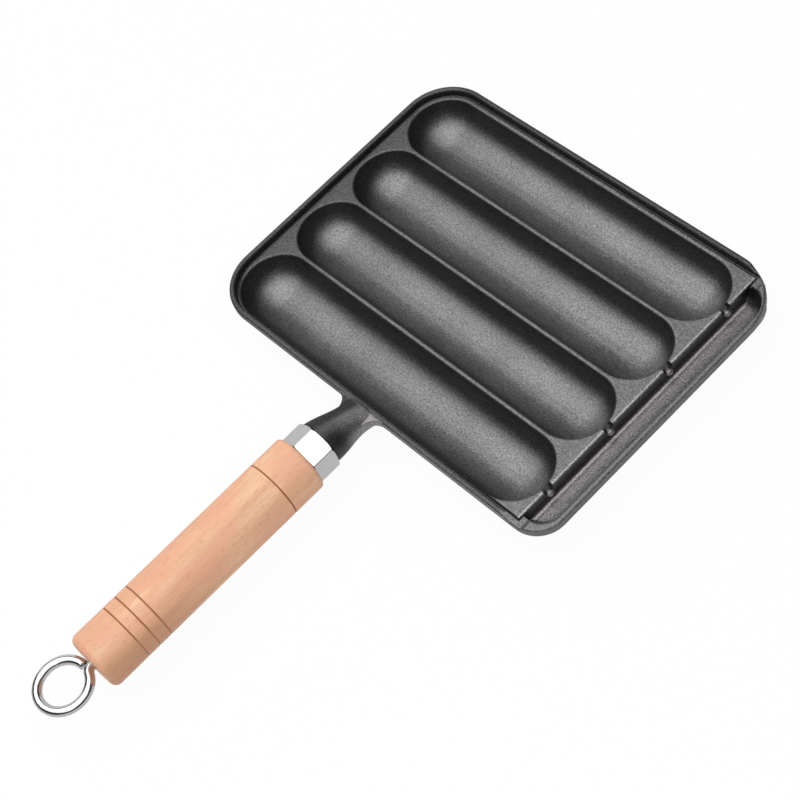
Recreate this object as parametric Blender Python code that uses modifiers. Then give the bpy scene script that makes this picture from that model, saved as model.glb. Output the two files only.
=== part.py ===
"""Cast iron sausage grill pan, built as it comes apart on a bench.

Four long grooves lie side by side in a flat plate, a thin rim runs round it,
and a deep trough along one short side takes the fat.  A cast tang on the long
side carries a six-sided ferrule and a turned wooden handle, and one long rod
with a hanging eye goes through both and screws into the tang.

Datum for every size below: X runs along the grooves and is 0 where the plate
ends over the trough, Y is 0 midway between the grooves, Z is 0 on the plate.
The parent empty then moves the pan onto its origin, under the middle of its
bounding box.  Units are metres, +Z is up.
"""

import math

import bmesh
import bpy
from mathutils import Matrix, Vector

# Grooves
GROOVE_COUNT = 4
GROOVE_LENGTH = 0.1841
GROOVE_WIDTH = 0.0338
GROOVE_DEPTH = 0.0150
GROOVE_AXIS_RISE = 0.0002
WEB_WIDTH = 0.0022

# Flat land between the grooves and the edge of the plate
LAND_FAR = 0.0026
LAND_NEAR = 0.0005
LAND_PLAIN_END = 0.0024
LAND_TROUGH_END = 0.0012

# Rim and the narrow gutter inside it
GUTTER_WIDTH = 0.0011
GUTTER_DEPTH = 0.0016
RIM_THICKNESS = 0.0027
RIM_HEIGHT = 0.0024
RIM_EDGE_RADIUS = 0.0007
LIP_DEPTH = 0.0020
LIP_UNDERCUT = 0.0030
FLANGE_THICKNESS = 0.0046

# Shell under the grooves, ground flat where the pan stands
SHELL_THICKNESS = 0.0038
GROUND_OFF = 0.0004

# Drip trough, its ends set in from the edges of the plate
TROUGH_WIDTH = 0.0142
TROUGH_FLOOR_WIDTH = 0.0044
TROUGH_DEPTH = 0.0085
TROUGH_FOOT_RADIUS = 0.0021
TROUGH_END_FAR = 0.0048
TROUGH_END_NEAR = 0.0019
TROUGH_END_SLOPE = 0.0050
TROUGH_CORNER_RADIUS = 0.0088
TROUGH_FAR_CORNER_RADIUS = 0.0120
TROUGH_FLOOR_THICKNESS = 0.0019
TROUGH_WALL = 0.0015
TROUGH_BACK_WALL = 0.0036
TROUGH_SET_BACK = 0.0005
NEAR_CORNER_RADIUS = 0.0142
FAR_CORNER_RADIUS = 0.0255

# Drain from each groove into the trough, with its small lip
DRAIN_RADIUS = 0.0026
DRAIN_CENTRE_DEPTH = 0.0004
DRAIN_LIP_THICKNESS = 0.0009
DRAIN_LIP_REACH = 0.0013
DRAIN_LIP_WIDTH = 0.0032

# Pouring dips in the rim, one at each end of the trough, steeper on its side
SPOUT_TOP_X0 = -0.0055
SPOUT_FLOOR_X0 = -0.0005
SPOUT_FLOOR_X1 = 0.0046
SPOUT_TOP_X1 = 0.0076
SPOUT_FLOOR_RISE = 0.0005
GUTTER_END_X = 0.0024

# Tang
TANG_REACH = 0.0229
TANG_NECK_RADIUS = 0.0077
TANG_NECK_AT = 0.30
TANG_ROOT_HALF_WIDTH = 0.0086
TANG_END_RADIUS = 0.0106
TANG_DROP = 0.0104
TANG_WEB_RADIUS = 0.0068
TANG_ROOT_RISE = 0.0006
SPIGOT_LENGTH = 0.0030

# Handle axis, from the middle of the pan and from the plate
HANDLE_OFFSET = -0.0021
HANDLE_RISE = 0.0026

# Ferrule
FERRULE_LENGTH = 0.0110
FERRULE_ACROSS_FLATS = 0.0210
FERRULE_WALL = 0.0013
FERRULE_EDGE_RADIUS = 0.0009
FERRULE_END_CHAMFER = 0.0012

# Wooden handle
WOOD_LENGTH = 0.1194
WOOD_RADIUS = 0.0136
WOOD_FRONT_ROUNDING = 0.0016
WOOD_REAR_ROUNDING = 0.0034
RING_LINE_WIDTH = 0.0008
RING_LINE_DEPTH = 0.0004
FRONT_RING_FROM_FRONT = 0.0168
REAR_RINGS = 3
REAR_RING_FROM_REAR = 0.0187
REAR_RING_SPACING = 0.0063

# Eye rod
ROD_RADIUS = 0.0022
ROD_ENGAGEMENT = 0.0130
ROD_END_ROOM = 0.0010
EYE_RADIUS = 0.0114
EYE_OFFSET = -0.0024
EYE_NECK_RADIUS = 0.0040
EYE_END_ANGLE = math.radians(88.0)

# Clearances
FIT = 0.0003
OVERCUT = 0.0010

# Facets
CORNER_STEPS = 8
GROOVE_SEGMENTS = 36
GROOVE_RINGS = 15
BULGE_SEGMENTS = 28
BULGE_RINGS = 11
TROUGH_STEPS = 6
TANG_STATIONS = 11
TANG_SEGMENTS = 32
TURNED_SEGMENTS = 48
HOLE_SEGMENTS = 24
DRAIN_SEGMENTS = 16
EYE_STEPS = 30

# Places that follow from the sizes
PITCH = GROOVE_WIDTH + WEB_WIDTH
GROOVE_Y = [(i - (GROOVE_COUNT - 1) / 2) * PITCH for i in range(GROOVE_COUNT)]
GROOVE_HALF = GROOVE_WIDTH / 2
GROOVES_X0 = -LAND_TROUGH_END - GROOVE_LENGTH
GROOVES_MID_X = GROOVES_X0 + GROOVE_LENGTH / 2
PLATE_X0 = GROOVES_X0 - LAND_PLAIN_END
PLATE_Y0 = GROOVE_Y[0] - GROOVE_HALF - LAND_NEAR
PLATE_Y1 = GROOVE_Y[-1] + GROOVE_HALF + LAND_FAR
INNER_X0 = PLATE_X0 - GUTTER_WIDTH
TROUGH_Y0 = PLATE_Y0 + TROUGH_END_NEAR
TROUGH_Y1 = PLATE_Y1 - TROUGH_END_FAR
INNER_Y0 = PLATE_Y0 - GUTTER_WIDTH
INNER_Y1 = PLATE_Y1 + GUTTER_WIDTH
OUTER_X0 = INNER_X0 - RIM_THICKNESS
OUTER_X1 = TROUGH_WIDTH + RIM_THICKNESS
OUTER_Y0 = INNER_Y0 - RIM_THICKNESS
OUTER_Y1 = INNER_Y1 + RIM_THICKNESS
PLATE_CORNER = GROOVE_HALF + min(LAND_FAR, LAND_PLAIN_END)
INNER_CORNER = PLATE_CORNER + GUTTER_WIDTH
OUTER_CORNER = INNER_CORNER + RIM_THICKNESS
SHELL_HALF = GROOVE_HALF + SHELL_THICKNESS
SHELL_DEPTH = GROOVE_DEPTH + SHELL_THICKNESS
BASE_Z = -SHELL_DEPTH + GROUND_OFF

DRAIN_LIP_TOP = -DRAIN_CENTRE_DEPTH - math.sqrt(DRAIN_RADIUS**2 - DRAIN_LIP_WIDTH**2 / 4)

HANDLE_X = (OUTER_X0 + OUTER_X1) / 2 + HANDLE_OFFSET
SHOULDER_Y = OUTER_Y0 - TANG_REACH
SPIGOT_END_Y = SHOULDER_Y - SPIGOT_LENGTH
FERRULE_FRONT_Y = SHOULDER_Y - FIT
FERRULE_REAR_Y = FERRULE_FRONT_Y - FERRULE_LENGTH
WOOD_FRONT_Y = FERRULE_REAR_Y - FIT
WOOD_REAR_Y = WOOD_FRONT_Y - WOOD_LENGTH
HOLE_RADIUS = ROD_RADIUS + FIT
ROD_FRONT_Y = SHOULDER_Y + ROD_ENGAGEMENT
EYE_OUTER = EYE_RADIUS + ROD_RADIUS
EYE_Y = WOOD_REAR_Y - FIT - EYE_OUTER
EYE_END_Y = EYE_Y - EYE_OUTER
SOCKET_ACROSS_FLATS = FERRULE_ACROSS_FLATS - 2 * FERRULE_WALL
PLUG_ACROSS_FLATS = SOCKET_ACROSS_FLATS - 2 * FIT

ORIGIN = Vector((
    (OUTER_X0 + OUTER_X1) / 2,
    (OUTER_Y1 + EYE_END_Y) / 2,
    BASE_Z,
))


# Scene and objects

def clear_scene():
    for obj in list(bpy.data.objects):
        bpy.data.objects.remove(obj, do_unlink=True)


def new_collection(name):
    collection = bpy.data.collections.new(name)
    bpy.context.scene.collection.children.link(collection)
    return collection


def new_empty(name, collection, parent=None):
    empty = bpy.data.objects.new(name, None)
    empty.empty_display_size = TANG_REACH
    empty.parent = parent
    collection.objects.link(empty)
    return empty


def principled(name, colour, metallic, roughness):
    material = bpy.data.materials.new(name)
    material.use_nodes = True
    shader = material.node_tree.nodes["Principled BSDF"]
    shader.inputs["Base Color"].default_value = (*colour, 1.0)
    shader.inputs["Metallic"].default_value = metallic
    shader.inputs["Roughness"].default_value = roughness
    return material


def add_part(name, mesh, parent, material):
    part = bpy.data.objects.new(name, mesh)
    part.parent = parent
    mesh.materials.clear()
    mesh.materials.append(material)
    PARTS.objects.link(part)
    return part


def add_cutter(name, mesh, parent):
    cutter = bpy.data.objects.new(name, mesh)
    cutter.parent = parent
    cutter.hide_render = True
    cutter.display_type = "WIRE"
    CUTTERS.objects.link(cutter)
    return cutter


def boolean(target, tool, operation):
    modifier = target.modifiers.new(f"{operation.lower()} {tool.name}", "BOOLEAN")
    modifier.operation = operation
    modifier.solver = "EXACT"
    modifier.object = tool


def finish_mesh(bm, name):
    bmesh.ops.recalc_face_normals(bm, faces=bm.faces)
    mesh = bpy.data.meshes.new(name)
    bm.to_mesh(mesh)
    bm.free()
    return mesh


# Shapes

def corner_arc(centre, radius, start, steps):
    """Points of a quarter circle, or its one corner point if radius is 0."""
    return [
        Vector((
            centre[0] + radius * math.cos(start + math.pi / 2 * i / steps),
            centre[1] + radius * math.sin(start + math.pi / 2 * i / steps),
        ))
        for i in range(steps + 1)
    ]


def rounded_outline(x0, x1, y0, y1, radii, grow=0.0):
    """Anticlockwise outline; radii are for the corners ++, -+, --, +-."""
    x0, x1, y0, y1 = x0 - grow, x1 + grow, y0 - grow, y1 + grow
    largest = 0.9 * min(x1 - x0, y1 - y0)
    radii = [min(max(radius + grow, 0.0002), largest) for radius in radii]
    corners = (
        (x1 - radii[0], y1 - radii[0]),
        (x0 + radii[1], y1 - radii[1]),
        (x0 + radii[2], y0 + radii[2]),
        (x1 - radii[3], y0 + radii[3]),
    )
    points = []
    for i, (corner, radius) in enumerate(zip(corners, radii)):
        points += corner_arc(corner, radius, math.pi / 2 * i, CORNER_STEPS)
    return points


def loft(name, rings):
    """Closed solid through rings that have the same number of points."""
    bm = bmesh.new()
    rows = [[bm.verts.new(point) for point in ring] for ring in rings]
    count = len(rings[0])
    for low, high in zip(rows, rows[1:]):
        for i in range(count):
            j = (i + 1) % count
            bm.faces.new((low[i], low[j], high[j], high[i]))
    bm.faces.new(rows[0])
    bm.faces.new(rows[-1])
    return finish_mesh(bm, name)


def stacked(name, outlines):
    """Loft of flat outlines, given as (outline, height) from one end on."""
    rings = [[Vector((p.x, p.y, z)) for p in outline] for outline, z in outlines]
    return loft(name, rings)


def capsule(name, length, width, depth, segments, ring_count):
    """Lying capsule: a sphere pulled out along X and squashed in Z.

    The facets straddle the plane z = 0 and the middle of the length, so both
    the width and the straight sides come out true.
    """
    bm = bmesh.new()
    bmesh.ops.create_uvsphere(bm, u_segments=segments, v_segments=ring_count, radius=1.0)
    half_facet = math.pi / segments
    turn = Matrix.Rotation(half_facet, 4, "X") @ Matrix.Rotation(math.pi / 2, 4, "Y")
    bmesh.ops.transform(bm, matrix=turn, verts=bm.verts)
    true_ring = 1.0 / math.cos(math.pi / (2 * ring_count))
    true_side = true_ring / math.cos(half_facet)
    end_length = width / 2
    for vert in bm.verts:
        pull = math.copysign(length / 2 - end_length, vert.co.x)
        vert.co.x = vert.co.x * end_length + pull
        vert.co.y *= true_side * width / 2
        vert.co.z *= true_ring * depth
    return finish_mesh(bm, name)


def cut_level(mesh, height, keep_below):
    """Cut a closed mesh flat at a height and close it again."""
    bm = bmesh.new()
    bm.from_mesh(mesh)
    geometry = bm.verts[:] + bm.edges[:] + bm.faces[:]
    cut = bmesh.ops.bisect_plane(
        bm, geom=geometry, plane_co=(0, 0, height), plane_no=(0, 0, 1),
        clear_outer=keep_below, clear_inner=not keep_below,
    )
    edges = [item for item in cut["geom_cut"] if isinstance(item, bmesh.types.BMEdge)]
    bmesh.ops.holes_fill(bm, edges=edges, sides=0)
    bmesh.ops.recalc_face_normals(bm, faces=bm.faces)
    bm.to_mesh(mesh)
    bm.free()


def hexagon(across_flats):
    """Six corners, one of them straight up when the handle lies level."""
    radius = across_flats / math.sqrt(3)
    return [
        Vector((radius * math.sin(math.pi / 3 * i), radius * math.cos(math.pi / 3 * i)))
        for i in range(6)
    ]


def prism(name, outline, z0, z1):
    """Flat outline given thickness: a filled 2D curve, made a mesh."""
    curve = bpy.data.curves.new(name, "CURVE")
    curve.dimensions = "2D"
    curve.fill_mode = "BOTH"
    curve.extrude = (z1 - z0) / 2
    spline = curve.splines.new("POLY")
    spline.points.add(len(outline) - 1)
    for point, corner in zip(spline.points, outline):
        point.co = (corner.x, corner.y, 0.0, 1.0)
    spline.use_cyclic_u = True
    carrier = bpy.data.objects.new(name, curve)
    bpy.context.scene.collection.objects.link(carrier)
    depsgraph = bpy.context.evaluated_depsgraph_get()
    mesh = bpy.data.meshes.new_from_object(carrier.evaluated_get(depsgraph))
    bpy.data.objects.remove(carrier, do_unlink=True)
    bm = bmesh.new()
    bm.from_mesh(mesh)
    bmesh.ops.remove_doubles(bm, verts=bm.verts, dist=0.00001)
    bmesh.ops.translate(bm, verts=bm.verts, vec=(0, 0, (z0 + z1) / 2))
    bmesh.ops.recalc_face_normals(bm, faces=bm.faces)
    bm.to_mesh(mesh)
    bm.free()
    return mesh


def cylinder(name, radius, z0, z1, segments):
    bm = bmesh.new()
    bmesh.ops.create_cone(
        bm, cap_ends=True, segments=segments, radius1=radius, radius2=radius, depth=z1 - z0
    )
    bmesh.ops.translate(bm, verts=bm.verts, vec=(0, 0, (z0 + z1) / 2))
    return finish_mesh(bm, name)


def turned(name, profile):
    """Profile of (radius, height) from the top of the axis down, for Screw."""
    bm = bmesh.new()
    verts = [bm.verts.new((radius, 0, height)) for radius, height in profile]
    for upper, lower in zip(verts, verts[1:]):
        bm.edges.new((upper, lower))
    mesh = bpy.data.meshes.new(name)
    bm.to_mesh(mesh)
    bm.free()
    return mesh


def add_screw(part):
    screw = part.modifiers.new("turn", "SCREW")
    screw.axis = "Z"
    screw.angle = 2 * math.pi
    screw.steps = TURNED_SEGMENTS
    screw.render_steps = TURNED_SEGMENTS
    screw.use_smooth_shade = True
    screw.use_merge_vertices = True
    screw.merge_threshold = 0.00001


# Pan casting

def rim_block():
    """Outer block of rim and flange, with the lip undercut all round."""
    radii = [FAR_CORNER_RADIUS, OUTER_CORNER, OUTER_CORNER, NEAR_CORNER_RADIUS]

    def outline(grow):
        return rounded_outline(OUTER_X0, OUTER_X1, OUTER_Y0, OUTER_Y1, radii, grow)

    return stacked("rim block", [
        (outline(-LIP_UNDERCUT), -FLANGE_THICKNESS),
        (outline(0.0), -LIP_DEPTH),
        (outline(0.0), RIM_HEIGHT - RIM_EDGE_RADIUS),
        (outline(-0.3 * RIM_EDGE_RADIUS), RIM_HEIGHT - 0.3 * RIM_EDGE_RADIUS),
        (outline(-RIM_EDGE_RADIUS), RIM_HEIGHT),
    ])


def rim_recess():
    """Space inside the rim over the plate, down to the floor of the gutter."""
    radii = [0.0, INNER_CORNER, INNER_CORNER, 0.0]

    def outline(grow):
        return rounded_outline(INNER_X0, GUTTER_END_X, INNER_Y0, INNER_Y1, radii, grow)

    return stacked("rim recess", [(outline(0.0), -GUTTER_DEPTH)] + rim_edge(outline))


def rim_edge(outline):
    """Rounded inner edge at the top of the rim, for a hollow cut from above."""
    return [
        (outline(0.0), RIM_HEIGHT - RIM_EDGE_RADIUS),
        (outline(0.3 * RIM_EDGE_RADIUS), RIM_HEIGHT - 0.3 * RIM_EDGE_RADIUS),
        (outline(RIM_EDGE_RADIUS), RIM_HEIGHT),
        (outline(RIM_EDGE_RADIUS + OVERCUT), RIM_HEIGHT + OVERCUT),
    ]


def plate_slab():
    """Plate that the grooves sink into; it ends square over the trough."""
    radii = [0.0, PLATE_CORNER, PLATE_CORNER, 0.0]
    outline = rounded_outline(PLATE_X0, 0.0, PLATE_Y0, PLATE_Y1, radii)
    return stacked("plate", [(outline, -(GUTTER_DEPTH + FLANGE_THICKNESS) / 2), (outline, 0.0)])


def trough_ring(x0, side, end, far_radius, near_radius):
    """Outline of the trough at one level, its ends and corners drawn in."""
    radii = [min(far_radius, 0.8 * side), 0.0, 0.0, min(near_radius, 0.8 * side)]
    return rounded_outline(x0, side, TROUGH_Y0 + end, TROUGH_Y1 - end, radii)


def trough_hollow():
    """Drip trough: filleted at the plate's side, curved up to the rim outside."""
    radii = [TROUGH_FAR_CORNER_RADIUS, 0.0, 0.0, TROUGH_CORNER_RADIUS]

    def outline(grow):
        return rounded_outline(
            -TROUGH_SET_BACK, TROUGH_WIDTH, TROUGH_Y0, TROUGH_Y1, radii, grow
        )

    rings = []
    for i in range(TROUGH_STEPS + 1):
        angle = math.pi / 2 * i / TROUGH_STEPS
        side = TROUGH_FLOOR_WIDTH + (TROUGH_WIDTH - TROUGH_FLOOR_WIDTH) * math.sin(angle)
        end = TROUGH_END_SLOPE * (1.0 - math.sin(angle))
        rise = (TROUGH_DEPTH - GUTTER_DEPTH) * (1.0 - math.cos(angle))
        under = max(TROUGH_FOOT_RADIUS - rise, 0.0)
        foot = TROUGH_FOOT_RADIUS - math.sqrt(TROUGH_FOOT_RADIUS**2 - under**2)
        ring = trough_ring(
            foot - TROUGH_SET_BACK, side, end, TROUGH_FAR_CORNER_RADIUS, TROUGH_CORNER_RADIUS
        )
        rings.append((ring, rise - TROUGH_DEPTH))
    return stacked("trough hollow", rings + rim_edge(outline))


def trough_body():
    """Outer walls of the trough, which follow its hollow."""
    under = TROUGH_DEPTH + TROUGH_FLOOR_THICKNESS
    reach = TROUGH_WIDTH + TROUGH_WALL - TROUGH_FLOOR_WIDTH
    far_radius = TROUGH_FAR_CORNER_RADIUS + TROUGH_WALL
    near_radius = TROUGH_CORNER_RADIUS + TROUGH_WALL
    rings = []
    for i in range(TROUGH_STEPS + 1):
        angle = math.pi / 2 * i / TROUGH_STEPS
        side = TROUGH_FLOOR_WIDTH + reach * math.sin(angle)
        end = TROUGH_END_SLOPE * (1.0 - math.sin(angle)) - TROUGH_WALL
        drop = under - (under - LIP_DEPTH) * (1.0 - math.cos(angle))
        rings.append((trough_ring(-TROUGH_BACK_WALL, side, end, far_radius, near_radius), -drop))
    return stacked("trough body", rings)


def drain(name, radius, x0, x1, y):
    mesh = cylinder(name, radius, x0, x1, DRAIN_SEGMENTS)
    mesh.transform(
        Matrix.Translation((0, y, -DRAIN_CENTRE_DEPTH)) @ Matrix.Rotation(math.pi / 2, 4, "Y")
    )
    return mesh


def spout(name, side):
    """Dip across the rim; side is +1 at the far end and -1 at the near end."""
    edge = OUTER_Y1 if side > 0 else OUTER_Y0
    inside = edge - side * (OUTER_CORNER - RIM_THICKNESS) / 2
    outside = edge + side * OVERCUT
    height = RIM_HEIGHT - SPOUT_FLOOR_RISE
    reach = OVERCUT / height
    section = (
        (SPOUT_FLOOR_X1, SPOUT_FLOOR_RISE),
        (SPOUT_TOP_X1 + reach * (SPOUT_TOP_X1 - SPOUT_FLOOR_X1), RIM_HEIGHT + OVERCUT),
        (SPOUT_TOP_X0 + reach * (SPOUT_TOP_X0 - SPOUT_FLOOR_X0), RIM_HEIGHT + OVERCUT),
        (SPOUT_FLOOR_X0, SPOUT_FLOOR_RISE),
    )
    return loft(name, [[Vector((x, y, z)) for x, z in section] for y in (inside, outside)])


def ease(t):
    return t * t * (3 - 2 * t)


def tang_section(t):
    """Section of the tang at t, from 0 at the rim to 1 at its shoulder."""
    neck = TANG_NECK_AT
    if t < neck:
        blend = ease(t / neck)
        half = TANG_ROOT_HALF_WIDTH + blend * (TANG_NECK_RADIUS - TANG_ROOT_HALF_WIDTH)
    else:
        blend = ease((t - neck) / (1 - neck))
        half = TANG_NECK_RADIUS + blend * (TANG_END_RADIUS - TANG_NECK_RADIUS)
    root_top = RIM_HEIGHT + TANG_ROOT_RISE - HANDLE_RISE
    top = root_top + t * (TANG_END_RADIUS - root_top)
    bottom = -TANG_DROP + t * (TANG_DROP - TANG_END_RADIUS)
    y = OUTER_Y0 + RIM_THICKNESS / 2 + t * (SHOULDER_Y - OUTER_Y0 - RIM_THICKNESS / 2)
    squareness = 2.0 + 1.2 * (1.0 - t)
    middle = (top + bottom) / 2
    tall = (top - bottom) / 2
    ring = []
    for i in range(TANG_SEGMENTS):
        angle = 2 * math.pi * i / TANG_SEGMENTS
        across = abs(math.cos(angle)) ** (2 / squareness)
        up = abs(math.sin(angle)) ** (2 / squareness)
        ring.append(Vector((
            HANDLE_X + math.copysign(half * across, math.cos(angle)),
            y,
            HANDLE_RISE + middle + math.copysign(tall * up, math.sin(angle)),
        )))
    return ring


def tang_web():
    """Flat web at rim level, filleted in plan between the rim and the tang."""
    radius = TANG_WEB_RADIUS
    reach = TANG_NECK_RADIUS + radius
    inner = OUTER_Y0 + RIM_THICKNESS / 2
    right = [
        Vector((reach - radius * math.sin(angle), -radius + radius * math.cos(angle)))
        for angle in (math.pi / 2 * i / CORNER_STEPS for i in range(CORNER_STEPS + 1))
    ]
    right = [Vector((reach, inner - OUTER_Y0))] + right
    left = [Vector((-p.x, p.y)) for p in reversed(right)]
    outline = [Vector((HANDLE_X + p.x, OUTER_Y0 + p.y)) for p in right + left]
    return prism("tang web", outline, -LIP_DEPTH + FIT, RIM_HEIGHT - FIT)


def pan_body(parent, material):
    pan = add_part("pan_body", rim_block(), parent, material)
    boolean(pan, add_cutter("rim_recess", rim_recess(), parent), "DIFFERENCE")
    for name, side in (("spout_far", 1), ("spout_near", -1)):
        boolean(pan, add_cutter(name, spout(name, side), parent), "DIFFERENCE")
    boolean(pan, add_cutter("trough_body", trough_body(), parent), "UNION")
    for i, y in enumerate(GROOVE_Y):
        name = f"bulge_{i + 1}"
        # Neighbours differ in rings, so that their edges don't meet where they cross.
        mesh = capsule(
            name, GROOVE_LENGTH + 2 * SHELL_THICKNESS, 2 * SHELL_HALF, SHELL_DEPTH,
            BULGE_SEGMENTS, BULGE_RINGS + 2 * (i % 2),
        )
        cut_level(mesh, -(GUTTER_DEPTH + FLANGE_THICKNESS) / 3, keep_below=True)
        cut_level(mesh, BASE_Z, keep_below=False)
        bulge = add_cutter(name, mesh, parent)
        bulge.location = (GROOVES_MID_X, y, 0)
        boolean(pan, bulge, "UNION")
    boolean(pan, add_cutter("tang_web", tang_web(), parent), "UNION")
    stations = [i / (TANG_STATIONS - 1) for i in range(TANG_STATIONS)]
    spine = loft("tang spine", [tang_section(t) for t in stations])
    boolean(pan, add_cutter("tang_spine", spine, parent), "UNION")
    add_spigot(pan)
    boolean(pan, add_cutter("trough_hollow", trough_hollow(), parent), "DIFFERENCE")
    boolean(pan, add_cutter("plate", plate_slab(), parent), "UNION")
    for i, y in enumerate(GROOVE_Y):
        name = f"drain_lip_{i + 1}"
        lip = drain(
            name, DRAIN_RADIUS + DRAIN_LIP_THICKNESS,
            -LAND_TROUGH_END / 2, DRAIN_LIP_REACH, y,
        )
        cut_level(lip, DRAIN_LIP_TOP, keep_below=True)
        boolean(pan, add_cutter(name, lip, parent), "UNION")
    for i, y in enumerate(GROOVE_Y):
        name = f"groove_{i + 1}"
        mesh = capsule(
            name, GROOVE_LENGTH, GROOVE_WIDTH, GROOVE_DEPTH + GROOVE_AXIS_RISE,
            GROOVE_SEGMENTS, GROOVE_RINGS,
        )
        groove = add_cutter(name, mesh, parent)
        groove.location = (GROOVES_MID_X, y, GROOVE_AXIS_RISE)
        boolean(pan, groove, "DIFFERENCE")
    for i, y in enumerate(GROOVE_Y):
        name = f"drain_{i + 1}"
        start = -LAND_TROUGH_END - 2 * DRAIN_RADIUS
        end = DRAIN_LIP_REACH + OVERCUT
        channel = drain(name, DRAIN_RADIUS, start, end, y)
        boolean(pan, add_cutter(name, channel, parent), "DIFFERENCE")
    return pan


def add_spigot(pan):
    """Six-sided spigot that locates the ferrule, and the hole for the rod."""
    spigot_mesh = prism(
        "spigot", hexagon(PLUG_ACROSS_FLATS), SPIGOT_END_Y, SHOULDER_Y + FIT
    )
    boolean(pan, add_cutter("spigot", spigot_mesh, HANDLE_AXIS), "UNION")
    hole_mesh = cylinder(
        "rod hole", HOLE_RADIUS, SPIGOT_END_Y - OVERCUT, ROD_FRONT_Y + ROD_END_ROOM,
        HOLE_SEGMENTS,
    )
    boolean(pan, add_cutter("rod_hole_in_tang", hole_mesh, HANDLE_AXIS), "DIFFERENCE")


# Handle

def hex_ferrule(parent, material):
    """Six-sided collar, its ends turned down so that the flats end in curves."""
    body = prism("hex_ferrule", hexagon(FERRULE_ACROSS_FLATS), 0.0, FERRULE_LENGTH)
    bm = bmesh.new()
    bm.from_mesh(body)
    long_edges = [e for e in bm.edges if abs(e.verts[0].co.z - e.verts[1].co.z) > FERRULE_LENGTH / 2]
    bmesh.ops.bevel(
        bm, geom=long_edges, offset=FERRULE_EDGE_RADIUS, segments=3, profile=0.5,
        affect="EDGES",
    )
    bmesh.ops.recalc_face_normals(bm, faces=bm.faces)
    bm.to_mesh(body)
    bm.free()
    ferrule = add_part("hex_ferrule", body, parent, material)
    ferrule.location = (0, 0, FERRULE_REAR_Y)
    corner = FERRULE_ACROSS_FLATS / math.sqrt(3)
    end = FERRULE_ACROSS_FLATS / 2 - FERRULE_END_CHAMFER / 3
    blank_mesh = turned("ferrule blank", [
        (0.0, FERRULE_LENGTH),
        (end, FERRULE_LENGTH),
        (corner, FERRULE_LENGTH - FERRULE_END_CHAMFER),
        (corner, FERRULE_END_CHAMFER / 3),
        (corner - FERRULE_END_CHAMFER / 3, 0.0),
        (0.0, 0.0),
    ])
    blank = add_cutter("ferrule_blank", blank_mesh, parent)
    blank.location = ferrule.location
    add_screw(blank)
    boolean(ferrule, blank, "INTERSECT")
    socket_mesh = prism(
        "ferrule socket", hexagon(SOCKET_ACROSS_FLATS), -OVERCUT, FERRULE_LENGTH + OVERCUT
    )
    socket = add_cutter("ferrule_socket", socket_mesh, parent)
    socket.location = ferrule.location
    boolean(ferrule, socket, "DIFFERENCE")
    return ferrule


def quarter_round(radius_to, height_to, radius, upward):
    """Profile points of a rounded edge that ends on the handle's side."""
    points = []
    for i in range(5):
        angle = math.pi / 2 * i / 4
        inset = radius * (1 - math.sin(angle))
        drop = radius * (1 - math.cos(angle))
        points.append((radius_to - inset, height_to - upward * drop))
    return points


def wood_profile():
    """Half outline of the handle, from the middle of its front face back."""
    rings = [WOOD_LENGTH - FRONT_RING_FROM_FRONT]
    for i in reversed(range(REAR_RINGS)):
        rings.append(REAR_RING_FROM_REAR + i * REAR_RING_SPACING)
    profile = [(0.0, WOOD_LENGTH)]
    profile += quarter_round(WOOD_RADIUS, WOOD_LENGTH, WOOD_FRONT_ROUNDING, 1)
    for height in rings:
        profile.append((WOOD_RADIUS, height + RING_LINE_WIDTH / 2))
        profile.append((WOOD_RADIUS - RING_LINE_DEPTH, height))
        profile.append((WOOD_RADIUS, height - RING_LINE_WIDTH / 2))
    profile += reversed(quarter_round(WOOD_RADIUS, 0.0, WOOD_REAR_ROUNDING, -1))
    profile.append((0.0, 0.0))
    return profile


def wooden_handle(parent, material):
    wood = add_part("wooden_handle", turned("wooden_handle", wood_profile()), parent, material)
    wood.location = (0, 0, WOOD_REAR_Y)
    add_screw(wood)
    tenon_end = SPIGOT_END_Y - FIT - WOOD_REAR_Y
    tenon_mesh = prism(
        "tenon", hexagon(PLUG_ACROSS_FLATS), WOOD_LENGTH - WOOD_FRONT_ROUNDING, tenon_end
    )
    tenon = add_cutter("tenon", tenon_mesh, parent)
    tenon.location = wood.location
    boolean(wood, tenon, "UNION")
    hole_mesh = cylinder(
        "rod hole", HOLE_RADIUS, -OVERCUT, tenon_end + OVERCUT, HOLE_SEGMENTS
    )
    hole = add_cutter("rod_hole_in_wood", hole_mesh, parent)
    hole.location = wood.location
    boolean(wood, hole, "DIFFERENCE")
    return wood


def eye_path():
    """Middle line of the rod in the plane of its eye, as (across, along).

    The shank runs straight back, bends aside round a small radius just behind
    the wood and meets the eye, which closes back against the shank.
    """
    bend_height = EYE_Y + math.sqrt(
        (EYE_NECK_RADIUS + EYE_RADIUS) ** 2 - (EYE_NECK_RADIUS - EYE_OFFSET) ** 2
    )
    join = math.atan2(bend_height - EYE_Y, EYE_NECK_RADIUS - EYE_OFFSET)
    path = [(0.0, ROD_FRONT_Y)]
    for i in range(7):
        angle = join * i / 6
        path.append((
            EYE_NECK_RADIUS * (1 - math.cos(angle)),
            bend_height - EYE_NECK_RADIUS * math.sin(angle),
        ))
    sweep = 2 * math.pi - EYE_END_ANGLE + join
    for i in range(1, EYE_STEPS + 1):
        angle = join - sweep * i / EYE_STEPS
        path.append((
            EYE_OFFSET + EYE_RADIUS * math.cos(angle),
            EYE_Y + EYE_RADIUS * math.sin(angle),
        ))
    return path


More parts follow.
